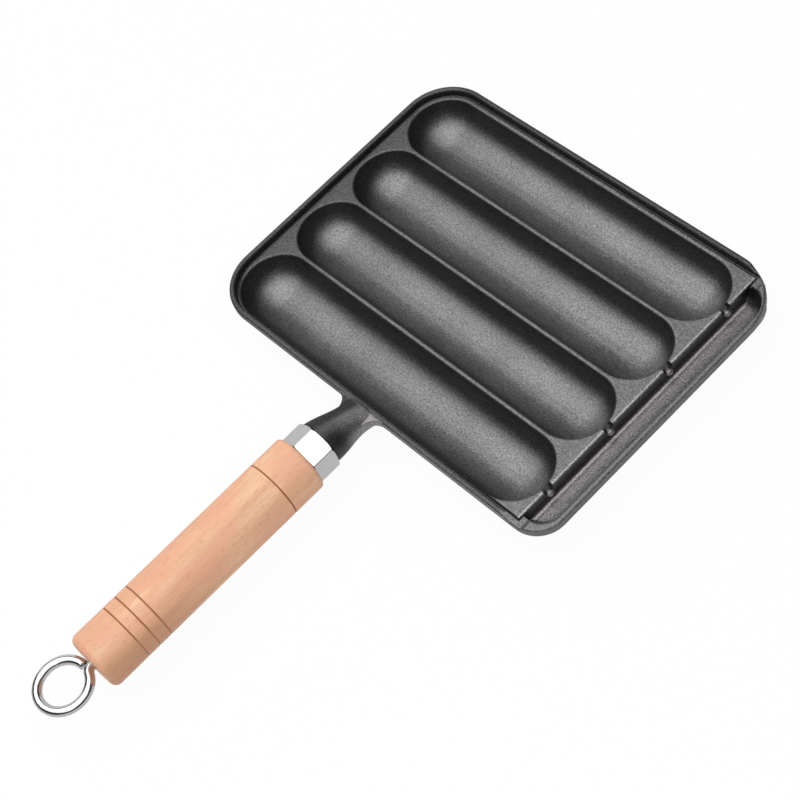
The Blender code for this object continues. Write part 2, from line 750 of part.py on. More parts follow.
def eye_rod(parent, material):
    curve = bpy.data.curves.new("eye_rod", "CURVE")
    curve.dimensions = "3D"
    curve.bevel_depth = ROD_RADIUS
    curve.bevel_resolution = 4
    curve.use_fill_caps = True
    path = eye_path()
    spline = curve.splines.new("POLY")
    spline.use_smooth = True
    spline.points.add(len(path) - 1)
    for point, (across, along) in zip(spline.points, path):
        point.co = (across, 0.0, along, 1.0)
    curve.materials.append(material)
    rod = bpy.data.objects.new("eye_rod", curve)
    rod.parent = parent
    PARTS.objects.link(rod)
    weld = rod.modifiers.new("join caps", "WELD")
    weld.merge_threshold = 0.00001
    return rod


clear_scene()
PARTS = new_collection("sausage_grill_pan")
CUTTERS = new_collection("cutters")
PAN_ORIGIN = new_empty("pan_origin", PARTS)
PAN_ORIGIN.location = -ORIGIN
HANDLE_AXIS = new_empty("handle_axis", PARTS, PAN_ORIGIN)
HANDLE_AXIS.location = (HANDLE_X, 0, HANDLE_RISE)
HANDLE_AXIS.rotation_euler = (-math.pi / 2, 0, 0)

cast_iron = principled("cast_iron", (0.050, 0.047, 0.047), 0.45, 0.62)
chrome = principled("chrome", (0.82, 0.82, 0.84), 1.0, 0.10)
beech = principled("beech", (0.74, 0.50, 0.33), 0.0, 0.52)

pan_body(PAN_ORIGIN, cast_iron)
hex_ferrule(HANDLE_AXIS, chrome)
wooden_handle(HANDLE_AXIS, beech)
eye_rod(HANDLE_AXIS, chrome)
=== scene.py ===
"""The sausage grill pan, dressed for its picture.

Every piece of the frame is remade here with finer curves, rounded edges and a
procedural finish. Sizes are those of the part's own source, in metres, but for
the edges, the ring lines' depth, the plate's overhang, the drains' mouths and
how square the tang is. X is 0 where the plate of the solids ends over the
trough, Y is 0 midway between the grooves and Z is 0 on the plate. The box of
the frame's pan says where that lies in the row frame.
"""

import math

import bmesh
import bpy
from mathutils import Matrix, Vector


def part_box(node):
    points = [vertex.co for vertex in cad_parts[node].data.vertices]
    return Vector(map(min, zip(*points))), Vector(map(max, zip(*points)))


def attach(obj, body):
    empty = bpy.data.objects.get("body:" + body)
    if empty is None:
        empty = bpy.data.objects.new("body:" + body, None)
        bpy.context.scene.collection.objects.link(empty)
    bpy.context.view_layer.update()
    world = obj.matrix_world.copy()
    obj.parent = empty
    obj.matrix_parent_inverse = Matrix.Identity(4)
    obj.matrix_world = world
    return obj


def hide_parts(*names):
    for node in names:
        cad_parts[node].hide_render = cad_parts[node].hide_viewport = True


# Grooves and the plate that they sink into
GROOVE_COUNT = 4
GROOVE_LENGTH = 0.1841
GROOVE_WIDTH = 0.0338
GROOVE_DEPTH = 0.0150
GROOVE_LIP_RADIUS = 0.00105
WEB_WIDTH = 0.0022
LAND_FAR = 0.0026
LAND_NEAR = 0.0005
LAND_PLAIN_END = 0.0024
LAND_TROUGH_END = 0.0012
PLATE_EDGE_RADIUS = 0.0010
PLATE_OVERHANG = 0.0012
SMALLEST_CORNER = 0.0002
LARGEST_CORNER_SHARE = 0.9

# Rim, gutter and lip
GUTTER_WIDTH = 0.0011
GUTTER_DEPTH = 0.0016
RIM_THICKNESS = 0.0027
RIM_HEIGHT = 0.0024
RIM_EDGE_RADIUS = 0.00125
LIP_DEPTH = 0.0020
LIP_UNDERCUT = 0.0030
LIP_EDGE_RADIUS = 0.0006
FLANGE_THICKNESS = 0.0046

# Shell under the grooves
SHELL_THICKNESS = 0.0038
GROUND_OFF = 0.0004

# Drip trough
TROUGH_WIDTH = 0.0142
TROUGH_FLOOR_WIDTH = 0.0044
TROUGH_DEPTH = 0.0085
TROUGH_FOOT_RADIUS = 0.0021
TROUGH_END_FAR = 0.0048
TROUGH_END_NEAR = 0.0019
TROUGH_END_SLOPE = 0.0050
TROUGH_CORNER_RADIUS = 0.0088
TROUGH_FAR_CORNER_RADIUS = 0.0120
TROUGH_FLOOR_THICKNESS = 0.0019
TROUGH_WALL = 0.0015
TROUGH_BACK_WALL = 0.0036
TROUGH_SET_BACK = 0.0005
TROUGH_CORNER_SHARE = 0.8
NEAR_CORNER_RADIUS = 0.0142
FAR_CORNER_RADIUS = 0.0255

# Drains
DRAIN_RADIUS = 0.0026
DRAIN_CENTRE_DEPTH = 0.0004
DRAIN_LIP_THICKNESS = 0.0009
DRAIN_LIP_REACH = 0.0004
DRAIN_LIP_WIDTH = 0.0032
DRAIN_NUB_LENGTH = 0.0040
DRAIN_NUB_WIDTH = 0.0040
DRAIN_NUB_HEIGHT = 0.0034
DRAIN_NUB_X = 0.0010
DRAIN_NUB_TOP = -0.0012

# Pouring dips
SPOUT_TOP_X0 = -0.0055
SPOUT_FLOOR_X0 = -0.0005
SPOUT_FLOOR_X1 = 0.0046
SPOUT_TOP_X1 = 0.0076
SPOUT_FLOOR_RISE = 0.0005
GUTTER_END_X = 0.0024

# Tang
TANG_REACH = 0.0229
TANG_NECK_RADIUS = 0.0077
TANG_NECK_AT = 0.30
TANG_ROOT_HALF_WIDTH = 0.0086
TANG_END_RADIUS = 0.0106
TANG_DROP = 0.0104
TANG_WEB_RADIUS = 0.0068
TANG_ROOT_RISE = 0.0006
TANG_SQUARENESS = 0.4
SPIGOT_LENGTH = 0.0030
HANDLE_OFFSET = -0.0021
HANDLE_RISE = 0.0026

# Ferrule
FERRULE_LENGTH = 0.0110
FERRULE_ACROSS_FLATS = 0.0210
FERRULE_WALL = 0.0013
FERRULE_EDGE_RADIUS = 0.0009
FERRULE_END_CHAMFER = 0.0012

# Wooden handle
WOOD_LENGTH = 0.1194
WOOD_RADIUS = 0.0136
WOOD_FRONT_ROUNDING = 0.0016
WOOD_REAR_ROUNDING = 0.0034
RING_LINE_WIDTH = 0.0008
RING_LINE_DEPTH = 0.0002
RING_LINE_FADE = (0.20 * RING_LINE_WIDTH, 0.70 * RING_LINE_WIDTH)
FRONT_RING_FROM_FRONT = 0.0168
REAR_RINGS = 3
REAR_RING_FROM_REAR = 0.0187
REAR_RING_SPACING = 0.0063

# Eye rod
ROD_RADIUS = 0.0022
ROD_ENGAGEMENT = 0.0130
ROD_END_ROOM = 0.0010
ROD_END_CHAMFER = 0.0005
EYE_RADIUS = 0.0114
EYE_OFFSET = -0.0024
EYE_NECK_RADIUS = 0.0040
EYE_END_ANGLE = math.radians(88.0)

# Clearances
FIT = 0.0003
SLIVER = FIT / 10
OVERCUT = 0.0010

# How finely the curves are cut
CORNER_STEPS = 20
EDGE_STEPS = 8
GROOVE_LEVELS = 22
BULGE_SEGMENTS = 72
BULGE_RINGS = 35
TROUGH_STEPS = 18
SPOUT_STEPS = 20
TANG_STATIONS = 33
TANG_SEGMENTS = 72
TURNED_SEGMENTS = 144
HOLE_SEGMENTS = 48
DRAIN_SEGMENTS = 40
ROD_SEGMENTS = 40
EYE_STEPS = 96
HEXAGON_CORNER_STEPS = 6
WOOD_REAR_STEPS = 12
FLOOR_SEGMENTS = 8
WELD_DISTANCE = 0.000002
SHARP_ANGLE = math.radians(38.0)

# Places that follow from the sizes
PITCH = GROOVE_WIDTH + WEB_WIDTH
GROOVE_Y = [(i - (GROOVE_COUNT - 1) / 2) * PITCH for i in range(GROOVE_COUNT)]
GROOVE_HALF = GROOVE_WIDTH / 2
GROOVE_X0 = -LAND_TROUGH_END - GROOVE_LENGTH
GROOVE_MID_X = GROOVE_X0 + GROOVE_LENGTH / 2
PLATE_X0 = GROOVE_X0 - LAND_PLAIN_END
PLATE_Y0 = GROOVE_Y[0] - GROOVE_HALF - LAND_NEAR
PLATE_Y1 = GROOVE_Y[-1] + GROOVE_HALF + LAND_FAR
TROUGH_Y0 = PLATE_Y0 + TROUGH_END_NEAR
TROUGH_Y1 = PLATE_Y1 - TROUGH_END_FAR
INNER_X0 = PLATE_X0 - GUTTER_WIDTH
INNER_Y0 = PLATE_Y0 - GUTTER_WIDTH
INNER_Y1 = PLATE_Y1 + GUTTER_WIDTH
OUTER_X0 = INNER_X0 - RIM_THICKNESS
OUTER_X1 = TROUGH_WIDTH + RIM_THICKNESS
OUTER_Y0 = INNER_Y0 - RIM_THICKNESS
OUTER_Y1 = INNER_Y1 + RIM_THICKNESS
PLATE_CORNER = GROOVE_HALF + min(LAND_FAR, LAND_PLAIN_END)
INNER_CORNER = PLATE_CORNER + GUTTER_WIDTH
OUTER_CORNER = INNER_CORNER + RIM_THICKNESS
PLATE_BOTTOM = -(GUTTER_DEPTH + FLANGE_THICKNESS) / 2
BULGE_TOP = -(GUTTER_DEPTH + FLANGE_THICKNESS) / 3
SHELL_HALF = GROOVE_HALF + SHELL_THICKNESS
SHELL_DEPTH = GROOVE_DEPTH + SHELL_THICKNESS
BASE_Z = -SHELL_DEPTH + GROUND_OFF
DRAIN_LIP_TOP = -DRAIN_CENTRE_DEPTH - math.sqrt(DRAIN_RADIUS**2 - DRAIN_LIP_WIDTH**2 / 4)
HANDLE_X = (OUTER_X0 + OUTER_X1) / 2 + HANDLE_OFFSET
SHOULDER_Y = OUTER_Y0 - TANG_REACH
SPIGOT_END_Y = SHOULDER_Y - SPIGOT_LENGTH
FERRULE_REAR_Y = SHOULDER_Y - FIT - FERRULE_LENGTH
WOOD_FRONT_Y = FERRULE_REAR_Y - FIT
WOOD_REAR_Y = WOOD_FRONT_Y - WOOD_LENGTH
RING_HEIGHTS = [REAR_RING_FROM_REAR + i * REAR_RING_SPACING for i in range(REAR_RINGS)]
RING_HEIGHTS.append(WOOD_LENGTH - FRONT_RING_FROM_FRONT)
HOLE_RADIUS = ROD_RADIUS + FIT
ROD_FRONT_Y = SHOULDER_Y + ROD_ENGAGEMENT
EYE_Y = WOOD_REAR_Y - FIT - EYE_RADIUS - ROD_RADIUS
SOCKET_ACROSS_FLATS = FERRULE_ACROSS_FLATS - 2 * FERRULE_WALL
PLUG_ACROSS_FLATS = SOCKET_ACROSS_FLATS - 2 * FIT
HANDLE_AXIS = Matrix.Translation((HANDLE_X, 0, HANDLE_RISE)) @ Matrix.Rotation(
    -math.pi / 2, 4, "X"
)

# The photograph's view, solved from the plate's edges and the round groove ends
CAMERA_AIM = Vector((-0.078865, -0.061856, 0.0))
CAMERA_DISTANCE = 0.852577
CAMERA_AZIMUTH = math.radians(-23.387)
CAMERA_ELEVATION = math.radians(54.4995)
CAMERA_ROLL = math.radians(-24.871)
CAMERA_LENS = 91.1035
CAMERA_SENSOR = 36.0
CAMERA_CLOSEST = 0.01

# Light
KEY_AZIMUTH = math.radians(-78.0)
KEY_ELEVATION = math.radians(80.0)
KEY_DISTANCE = 1.30
KEY_SIZE = (2.8, 2.1)
KEY_POWER = 33.0
BACK_AZIMUTH = math.radians(150.0)
BACK_ELEVATION = math.radians(16.0)
BACK_DISTANCE = 1.50
BACK_SIZE = (2.6, 0.9)
BACK_POWER = 6.0
WORLD_LEVEL = 0.055
FLOOR_SIZE = 8.0
FLOOR_COLOUR = (0.94, 0.94, 0.94, 1.0)
FLOOR_CLEAN = 0.95
FLOOR_IN_MIRRORS = 0.70
WHITE = (1.0, 1.0, 1.0, 1.0)

# Colours
IRON_DARK = (0.292, 0.284, 0.286, 1.0)
IRON_LIGHT = (0.350, 0.342, 0.344, 1.0)
IRON_SPECK = (0.450, 0.450, 0.450, 1.0)
IRON_TOP = (0.300, 0.294, 0.295, 1.0)
# painted shade on the plate's top towards its left end
IRON_LEFT_SHADE = (0.190, 0.186, 0.187, 1.0)
# painted shade on the rim
IRON_RIM_SHADE = (0.140, 0.136, 0.137, 1.0)
# dark colour of the painted shade on the groove walls, far rim, tang and trough
IRON_PAINTED_SHADE = (0.084, 0.078, 0.079, 1.0)
# painted light: the tang's painted highlight and the trough's lighter floor
IRON_PAINTED_LIGHT = (0.560, 0.535, 0.540, 1.0)
# painted highlight along the plate's edge over the trough
IRON_EDGE_HIGHLIGHT = (0.620, 0.620, 0.620, 1.0)
CHROME_DARK = (0.610, 0.600, 0.610, 1.0)
CHROME_LIGHT = (0.690, 0.680, 0.685, 1.0)
WOOD_LIGHT = (0.950, 0.590, 0.370, 1.0)
WOOD_DARK = (0.770, 0.400, 0.225, 1.0)
WOOD_STREAK = (0.865, 0.490, 0.305, 1.0)
WOOD_FLECK = (0.610, 0.300, 0.165, 1.0)
WOOD_PINK = (0.880, 0.420, 0.270, 1.0)
# painted shade on the handle's +X side towards its rear
WOOD_SHADE = (0.520, 0.250, 0.130, 1.0)
WOOD_SCORCHED = (0.340, 0.110, 0.030, 1.0)

# Even noises, as (scale, detail, roughness)
IRON_GRAIN = (1500.0, 3.0, 0.65)
IRON_PORES = (620.0, 2.0, 0.5)
IRON_PATCHES = (38.0, 4.0, 0.55)
CHROME_WAVES = (160.0, 2.0, 0.5)

# Noises drawn out along the handle, as (scale across, scale along, detail, roughness)
CHROME_SCUFFS = (2200.0, 500.0, 3.0, 0.5)
WOOD_BANDS = (190.0, 16.0, 3.0, 0.55)
WOOD_MOTTLE = (110.0, 42.0, 3.0, 0.6)
WOOD_STREAKS = (1100.0, 60.0, 4.0, 0.6)
WOOD_FLECKS = (1500.0, 300.0, 2.0, 0.5)

# Levels of a noise between which a tone, a roughness or a mark comes in
IRON_PATCH_LEVELS = (0.35, 0.65)
IRON_SPECK_LEVELS = (0.38, 0.64)
IRON_ROUGH_LEVELS = (0.30, 0.70)
CHROME_TONE_LEVELS = (0.30, 0.70)
CHROME_ROUGH_LEVELS = (0.30, 0.80)
WOOD_BAND_LEVELS = (0.36, 0.64)
WOOD_MOTTLE_LEVELS = (0.42, 0.58)
WOOD_STREAK_LEVELS = (0.40, 0.66)
WOOD_FLECK_LEVELS = (0.58, 0.72)
WOOD_ROUGH_LEVELS = (0.30, 0.70)

# Roughness, lowest and highest
IRON_ROUGHNESS = (0.41, 0.49)
IRON_TOP_ROUGHER = 0.06
CHROME_ROUGHNESS = (0.13, 0.19)
WOOD_ROUGHNESS = (0.40, 0.52)
COAT_ROUGHNESS = 0.35

# Relief of the skins, as (distance, strength)
IRON_GRAIN_RELIEF = (0.00010, 1.0)
IRON_PORE_RELIEF = (0.00010, 0.6)
CHROME_RELIEF = (0.00005, 0.5)
WOOD_RELIEF = (0.00004, 0.6)

# Sheen of the varnish
WOOD_SPECULAR = 0.35
WOOD_COAT = 0.05

# Fades by height, as two offsets from the plate's top
TOP_FADE = (-0.0012, -0.0001)
# heights at which the painted shade on the groove walls comes in
WALL_FADE = (-0.85 * GROOVE_DEPTH, -0.55 * GROOVE_DEPTH)
SUNK_FADE = (-0.0020, -0.0008)
RIM_TOP_FADE = (0.0002, 0.0009)

# Fades along X, from the pan's left side, the end of the plate or the handle's axis
# where the painted shade on the plate's top fades out from the left side
LEFT_SHADE_FADE = (0.0100, 0.0500)
TROUGH_WALL_FADE = (-0.0036, -0.0026)
TROUGH_FADE = (-0.0001, 0.0009)
EDGE_START_FADE = (-0.0014, -0.0006)
EDGE_STOP_FADE = (0.0002, 0.0006)
RIM_STOP_FADE = (-0.0090, -0.0050)
FAR_RIM_STOP_FADE = (-0.0060, 0.0)
# fades of the tang's painted shade and painted highlight
TANG_LEFT_FADE = (-0.0020, 0.0020)
TANG_FLANK_FADE = (0.0020, 0.0070)
TANG_HIGHLIGHT_FADE = (-0.0010, 0.0030)
WOOD_SIDE_FADE = (0.0090, 0.0130)

# Fades along Y, from the plate's sides, the trough's far end, the pan's near side,
# the tang's shoulder or the rear face of the wood
EDGE_NEAR_FADE = (0.0, 0.0004)
EDGE_FAR_FADE = (-0.0004, 0.0)
RIM_NEAR_FADE = (-0.0004, 0.0006)
FAR_RIM_FADE = (0.0002, 0.0012)
TROUGH_FAR_FADE = (-0.0065, -0.0030)
TANG_FADE = (-0.0006, 0.0004)
FERRULE_FADE = (0.0040, 0.0150)
WOOD_REAR_FADE = (0.0150, 0.0700)

# How strongly each skin, mark, painted shade or painted highlight covers what lies under it
# painted shade on the groove walls
WALL_PAINTED_SHADE = 0.75
# painted shade on the rim, and more of it on the far side
RIM_SHADE_COVER = 0.80
FAR_RIM_SHADE = 0.50
# painted shade on the trough's wall and at its far end
TROUGH_WALL_SHADE = 0.60
TROUGH_FAR_SHADE = 0.90
# painted shade on the tang, and a painted highlight on its right by the rim
TANG_LEFT_SHADE = 0.90
TANG_FLANK_SHADE = 0.85
TANG_HIGHLIGHT = 0.65
WOOD_MOTTLE_COVER = 0.70
WOOD_STREAK_COVER = 0.60
WOOD_FLECK_COVER = 0.50
# painted shade on the handle's +X side towards its rear
WOOD_SHADE_COVER = 0.65


# Meshes

def mesh_from(bm, name):
    bmesh.ops.recalc_face_normals(bm, faces=bm.faces)
    mesh = bpy.data.meshes.new(name)
    bm.to_mesh(mesh)
    bm.free()
    return mesh


def loft(name, rings):
    """Closed solid through rings that have the same number of points."""
    bm = bmesh.new()
    rows = [[bm.verts.new(point) for point in ring] for ring in rings]
    count = len(rings[0])
    for low, high in zip(rows, rows[1:]):
        for i in range(count):
            j = (i + 1) % count
            bm.faces.new((low[i], low[j], high[j], high[i]))
    bm.faces.new(rows[0])
    bm.faces.new(rows[-1])
    return mesh_from(bm, name)


def stacked(name, outlines):
    """Loft of flat outlines, given as (outline, height) from one end on."""
    rings = [[Vector((p.x, p.y, z)) for p in outline] for outline, z in outlines]
    return loft(name, rings)


def corner_arc(centre, radius, start):
    angles = [start + math.pi / 2 * i / CORNER_STEPS for i in range(CORNER_STEPS + 1)]
    return [
        Vector((centre[0] + radius * math.cos(a), centre[1] + radius * math.sin(a)))
        for a in angles
    ]


def rounded_outline(x0, x1, y0, y1, radii, grow=0.0):
    """Anticlockwise outline; radii are for the corners ++, -+, --, +-."""
    x0, x1, y0, y1 = x0 - grow, x1 + grow, y0 - grow, y1 + grow
    largest = LARGEST_CORNER_SHARE * min(x1 - x0, y1 - y0)
    radii = [min(max(radius + grow, SMALLEST_CORNER), largest) for radius in radii]
    corners = (
        (x1 - radii[0], y1 - radii[0]),
        (x0 + radii[1], y1 - radii[1]),
        (x0 + radii[2], y0 + radii[2]),
        (x1 - radii[3], y0 + radii[3]),
    )
    points = []
    for i, (corner, radius) in enumerate(zip(corners, radii)):
        points += corner_arc(corner, radius, math.pi / 2 * i)
    return points


def edge_round(radius, steps=EDGE_STEPS):
    """(inset, drop) along a quarter round, from the side of a solid to its top."""
    angles = [math.pi / 2 * i / steps for i in range(steps + 1)]
    return [(radius * (1 - math.cos(a)), radius * (1 - math.sin(a))) for a in angles]


def capsule(name, length, width, depth, segments, ring_count):
    """Lying capsule: a sphere pulled out along X and squashed in Z."""
    bm = bmesh.new()
    bmesh.ops.create_uvsphere(bm, u_segments=segments, v_segments=ring_count, radius=1.0)
    half_facet = math.pi / segments
    turn = Matrix.Rotation(half_facet, 4, "X") @ Matrix.Rotation(math.pi / 2, 4, "Y")
    bmesh.ops.transform(bm, matrix=turn, verts=bm.verts)
    for vert in bm.verts:
        pull = math.copysign((length - width) / 2, vert.co.x)
        vert.co.x = vert.co.x * width / 2 + pull
        vert.co.y *= width / 2
        vert.co.z *= depth
    return mesh_from(bm, name)


def cut_level(mesh, height, keep_below):
    """Cut a closed mesh flat at a height and close it again."""
    bm = bmesh.new()
    bm.from_mesh(mesh)
    geometry = bm.verts[:] + bm.edges[:] + bm.faces[:]
    cut = bmesh.ops.bisect_plane(
        bm, geom=geometry, plane_co=(0, 0, height), plane_no=(0, 0, 1),
        clear_outer=keep_below, clear_inner=not keep_below,
    )
    edges = [item for item in cut["geom_cut"] if isinstance(item, bmesh.types.BMEdge)]
    bmesh.ops.holes_fill(bm, edges=edges, sides=0)
    bmesh.ops.recalc_face_normals(bm, faces=bm.faces)
    bm.to_mesh(mesh)
    bm.free()


def extruded(name, outline, z0, z1):
    return stacked(name, [(outline, z0), (outline, z1)])


def circle(radius, segments):
    angles = [2 * math.pi * i / segments for i in range(segments)]
    return [Vector((radius * math.cos(a), radius * math.sin(a))) for a in angles]


def turned(name, profile, segments=TURNED_SEGMENTS):
    """Closed solid of revolution; profile is (radius, height), ends capped."""
    return stacked(name, [(circle(radius, segments), z) for radius, z in profile])


def hexagon(across_flats, edge_radius=0.0):
    """Six-sided outline with one corner up, its corners rounded on request."""
    outline = []
    for i in range(6):
        middle = math.pi / 2 + math.pi / 3 * i
        corner = Vector((math.cos(middle), math.sin(middle))) * across_flats / math.sqrt(3)
        if edge_radius == 0.0:
            outline.append(corner)
            continue
        centre = corner.normalized() * (corner.length - edge_radius * 2 / math.sqrt(3))
        for k in range(HEXAGON_CORNER_STEPS + 1):
            a = middle - math.pi / 6 + math.pi / 3 * k / HEXAGON_CORNER_STEPS
            outline.append(centre + edge_radius * Vector((math.cos(a), math.sin(a))))
    return outline


def swept(name, path, radius, chamfer):
    """Round bar along a flat path of (across, along), its two ends chamfered."""
    stations = [(Vector((across, 0.0, along)), radius) for across, along in path]
    first = (stations[1][0] - stations[0][0]).normalized()
    last = (stations[-1][0] - stations[-2][0]).normalized()
    stations[0] = (stations[0][0] + first * chamfer, radius)
    stations.insert(0, (stations[0][0] - first * chamfer, radius - chamfer))
    stations[-1] = (stations[-1][0] - last * chamfer, radius)
    stations.append((stations[-1][0] + last * chamfer, radius - chamfer))
    rings = []
    for i, (point, size) in enumerate(stations):
        before = stations[max(i - 1, 0)][0]
        after = stations[min(i + 1, len(stations) - 1)][0]
        along = (after - before).normalized()
        side = Vector((along.z, 0.0, -along.x))
        rings.append([
            point + p.x * side + Vector((0, p.y, 0)) for p in circle(size, ROD_SEGMENTS)
        ])
    return loft(name, rings)


def joined(name, meshes):
    bm = bmesh.new()
    for mesh in meshes:
        bm.from_mesh(mesh)
    out = bpy.data.meshes.new(name)
    bm.to_mesh(out)
    bm.free()
    return out


def moved(mesh, x=0.0, y=0.0, z=0.0):
    mesh.transform(Matrix.Translation((x, y, z)))
    return mesh


class Solid:
    """A mesh that is added to and cut, one exact boolean at a time."""

    def __init__(self, mesh):
        self.mesh = mesh

    def apply(self, tool, operation):
        base = bpy.data.objects.new("boolean base", self.mesh)
        other = bpy.data.objects.new("boolean tool", tool)
        for obj in (base, other):
            bpy.context.scene.collection.objects.link(obj)
        modifier = base.modifiers.new("boolean", "BOOLEAN")
        modifier.operation = operation
        modifier.solver = "EXACT"
        modifier.object = other
        depsgraph = bpy.context.evaluated_depsgraph_get()
        self.mesh = bpy.data.meshes.new_from_object(base.evaluated_get(depsgraph))
        for obj in (base, other):
            bpy.data.objects.remove(obj, do_unlink=True)
        return self

    def add(self, tool):
        return self.apply(tool, "UNION")

    def cut(self, tool):
        return self.apply(tool, "DIFFERENCE")

    def keep(self, tool):
        return self.apply(tool, "INTERSECT")


def finished(name, mesh, material, body, node):
    """Make the piece, put it in the row frame and hand it to the frame."""
    bm = bmesh.new()
    bm.from_mesh(mesh)
    bmesh.ops.remove_doubles(bm, verts=bm.verts, dist=WELD_DISTANCE)
    bmesh.ops.dissolve_degenerate(bm, edges=bm.edges, dist=WELD_DISTANCE)
    bm.transform(TO_ROW)
    bm.to_mesh(mesh)
    bm.free()
    mesh.name = name
    mesh.materials.clear()
    mesh.materials.append(material)
    mesh.shade_smooth()
    mesh.set_sharp_from_angle(angle=SHARP_ANGLE)
    piece = bpy.data.objects.new(name, mesh)
    bpy.context.scene.collection.objects.link(piece)
    weighted = piece.modifiers.new("flat faces stay flat", "WEIGHTED_NORMAL")
    weighted.keep_sharp = True
    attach(piece, body)
    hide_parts(node)


# Pan casting

def rim_block():
    """Outer block of rim and flange, undercut all round below its lip."""
    radii = [FAR_CORNER_RADIUS, OUTER_CORNER, OUTER_CORNER, NEAR_CORNER_RADIUS]

    def outline(grow):
        return rounded_outline(OUTER_X0, OUTER_X1, OUTER_Y0, OUTER_Y1, radii, grow)

    slope = LIP_UNDERCUT / (FLANGE_THICKNESS - LIP_DEPTH)
    rings = [(outline(-LIP_UNDERCUT), -FLANGE_THICKNESS)]
    rings.append((outline(-slope * LIP_EDGE_RADIUS), -LIP_DEPTH - LIP_EDGE_RADIUS))
    rings.append((outline(-slope * LIP_EDGE_RADIUS / 3), -LIP_DEPTH - LIP_EDGE_RADIUS / 2))
    rings.append((outline(0.0), -LIP_DEPTH + LIP_EDGE_RADIUS / 3))
    for inset, drop in edge_round(RIM_EDGE_RADIUS):
        rings.append((outline(-inset), RIM_HEIGHT - drop))
    return stacked("rim block", rings)


def hollow_edge(outline):
    """Rounded inner edge at the top of the rim, for a hollow cut from above."""
    rounds = edge_round(RIM_EDGE_RADIUS)[:-1]
    rings = [(outline(inset), RIM_HEIGHT - drop) for inset, drop in rounds]
    rings.append((outline(RIM_EDGE_RADIUS + FIT / 2), RIM_HEIGHT + SLIVER))
    rings.append((outline(RIM_EDGE_RADIUS + FIT), RIM_HEIGHT + OVERCUT))
    return rings


def rim_recess():
    radii = [0.0, INNER_CORNER, INNER_CORNER, 0.0]

    def outline(grow):
        return rounded_outline(INNER_X0, GUTTER_END_X, INNER_Y0, INNER_Y1, radii, grow)

    corner = GUTTER_WIDTH / 3
    floor = [(outline(-inset), -GUTTER_DEPTH + drop) for drop, inset in edge_round(corner)]
    return stacked("rim recess", floor + hollow_edge(outline))


def plate_slab():
    """Plate with rounded edges; it ends square over the trough."""
    radii = [PLATE_EDGE_RADIUS, PLATE_CORNER, PLATE_CORNER, PLATE_EDGE_RADIUS]

    def outline(grow):
        return rounded_outline(PLATE_X0, PLATE_OVERHANG, PLATE_Y0, PLATE_Y1, radii, grow)

    rings = [(outline(0.0), PLATE_BOTTOM)]
    for inset, drop in edge_round(PLATE_EDGE_RADIUS):
        rings.append((outline(-inset), -drop))
    return stacked("plate", rings)


def groove(y):
    """Round-ended groove of elliptical section with a rounded lip."""
    reach = (GROOVE_LENGTH - GROOVE_WIDTH) / 2
    ends = ((GROOVE_MID_X + reach, -math.pi / 2), (GROOVE_MID_X - reach, math.pi / 2))

    def outline(half):
        arcs = []
        steps = 2 * CORNER_STEPS
        for centre, start in ends:
            for i in range(steps + 1):
                a = start + math.pi * i / steps
                arcs.append(Vector((centre + half * math.cos(a), y + half * math.sin(a))))
        return arcs

    lip = GROOVE_LIP_RADIUS
    rings = []
    for i in range(1, GROOVE_LEVELS):
        a = math.pi / 2 * i / GROOVE_LEVELS
        depth = lip + (GROOVE_DEPTH - lip) * math.cos(a)
        rings.append((outline(GROOVE_HALF * math.sin(a)), -depth))
    rounds = edge_round(lip)[:-1]
    for inset, drop in rounds:
        rings.append((outline(GROOVE_HALF + inset), -drop))
    flare = 2 * lip - rounds[-1][0]
    rings.append((outline(GROOVE_HALF + flare), rounds[-1][1]))
    rings.append((outline(GROOVE_HALF + flare), OVERCUT))
    return stacked("groove", rings)


def trough_ring(x0, side, end, far_radius, near_radius):
    """Outline of the trough at one level, its ends and corners drawn in."""
    largest = TROUGH_CORNER_SHARE * side
    radii = [min(far_radius, largest), 0.0, 0.0, min(near_radius, largest)]
    return rounded_outline(x0, side, TROUGH_Y0 + end, TROUGH_Y1 - end, radii)


def trough_hollow():
    """Drip trough: filleted at the plate's side, curved up to the rim outside."""
    x0 = PLATE_OVERHANG - TROUGH_SET_BACK
    corners = (TROUGH_FAR_CORNER_RADIUS, TROUGH_CORNER_RADIUS)

    def outline(grow):
        radii = [corners[0], 0.0, 0.0, corners[1]]
        return rounded_outline(x0, TROUGH_WIDTH, TROUGH_Y0, TROUGH_Y1, radii, grow)

    rings = []
    for i in range(TROUGH_STEPS + 1):
        a = math.pi / 2 * i / TROUGH_STEPS
        side = TROUGH_FLOOR_WIDTH + (TROUGH_WIDTH - TROUGH_FLOOR_WIDTH) * math.sin(a)
        end = TROUGH_END_SLOPE * (1.0 - math.sin(a))
        rise = (TROUGH_DEPTH - GUTTER_DEPTH) * (1.0 - math.cos(a))
        under = max(TROUGH_FOOT_RADIUS - rise, 0.0)
        foot = TROUGH_FOOT_RADIUS - math.sqrt(TROUGH_FOOT_RADIUS**2 - under**2)
        rings.append((trough_ring(x0 + foot, side, end, *corners), rise - TROUGH_DEPTH))
    return stacked("trough hollow", rings + hollow_edge(outline))


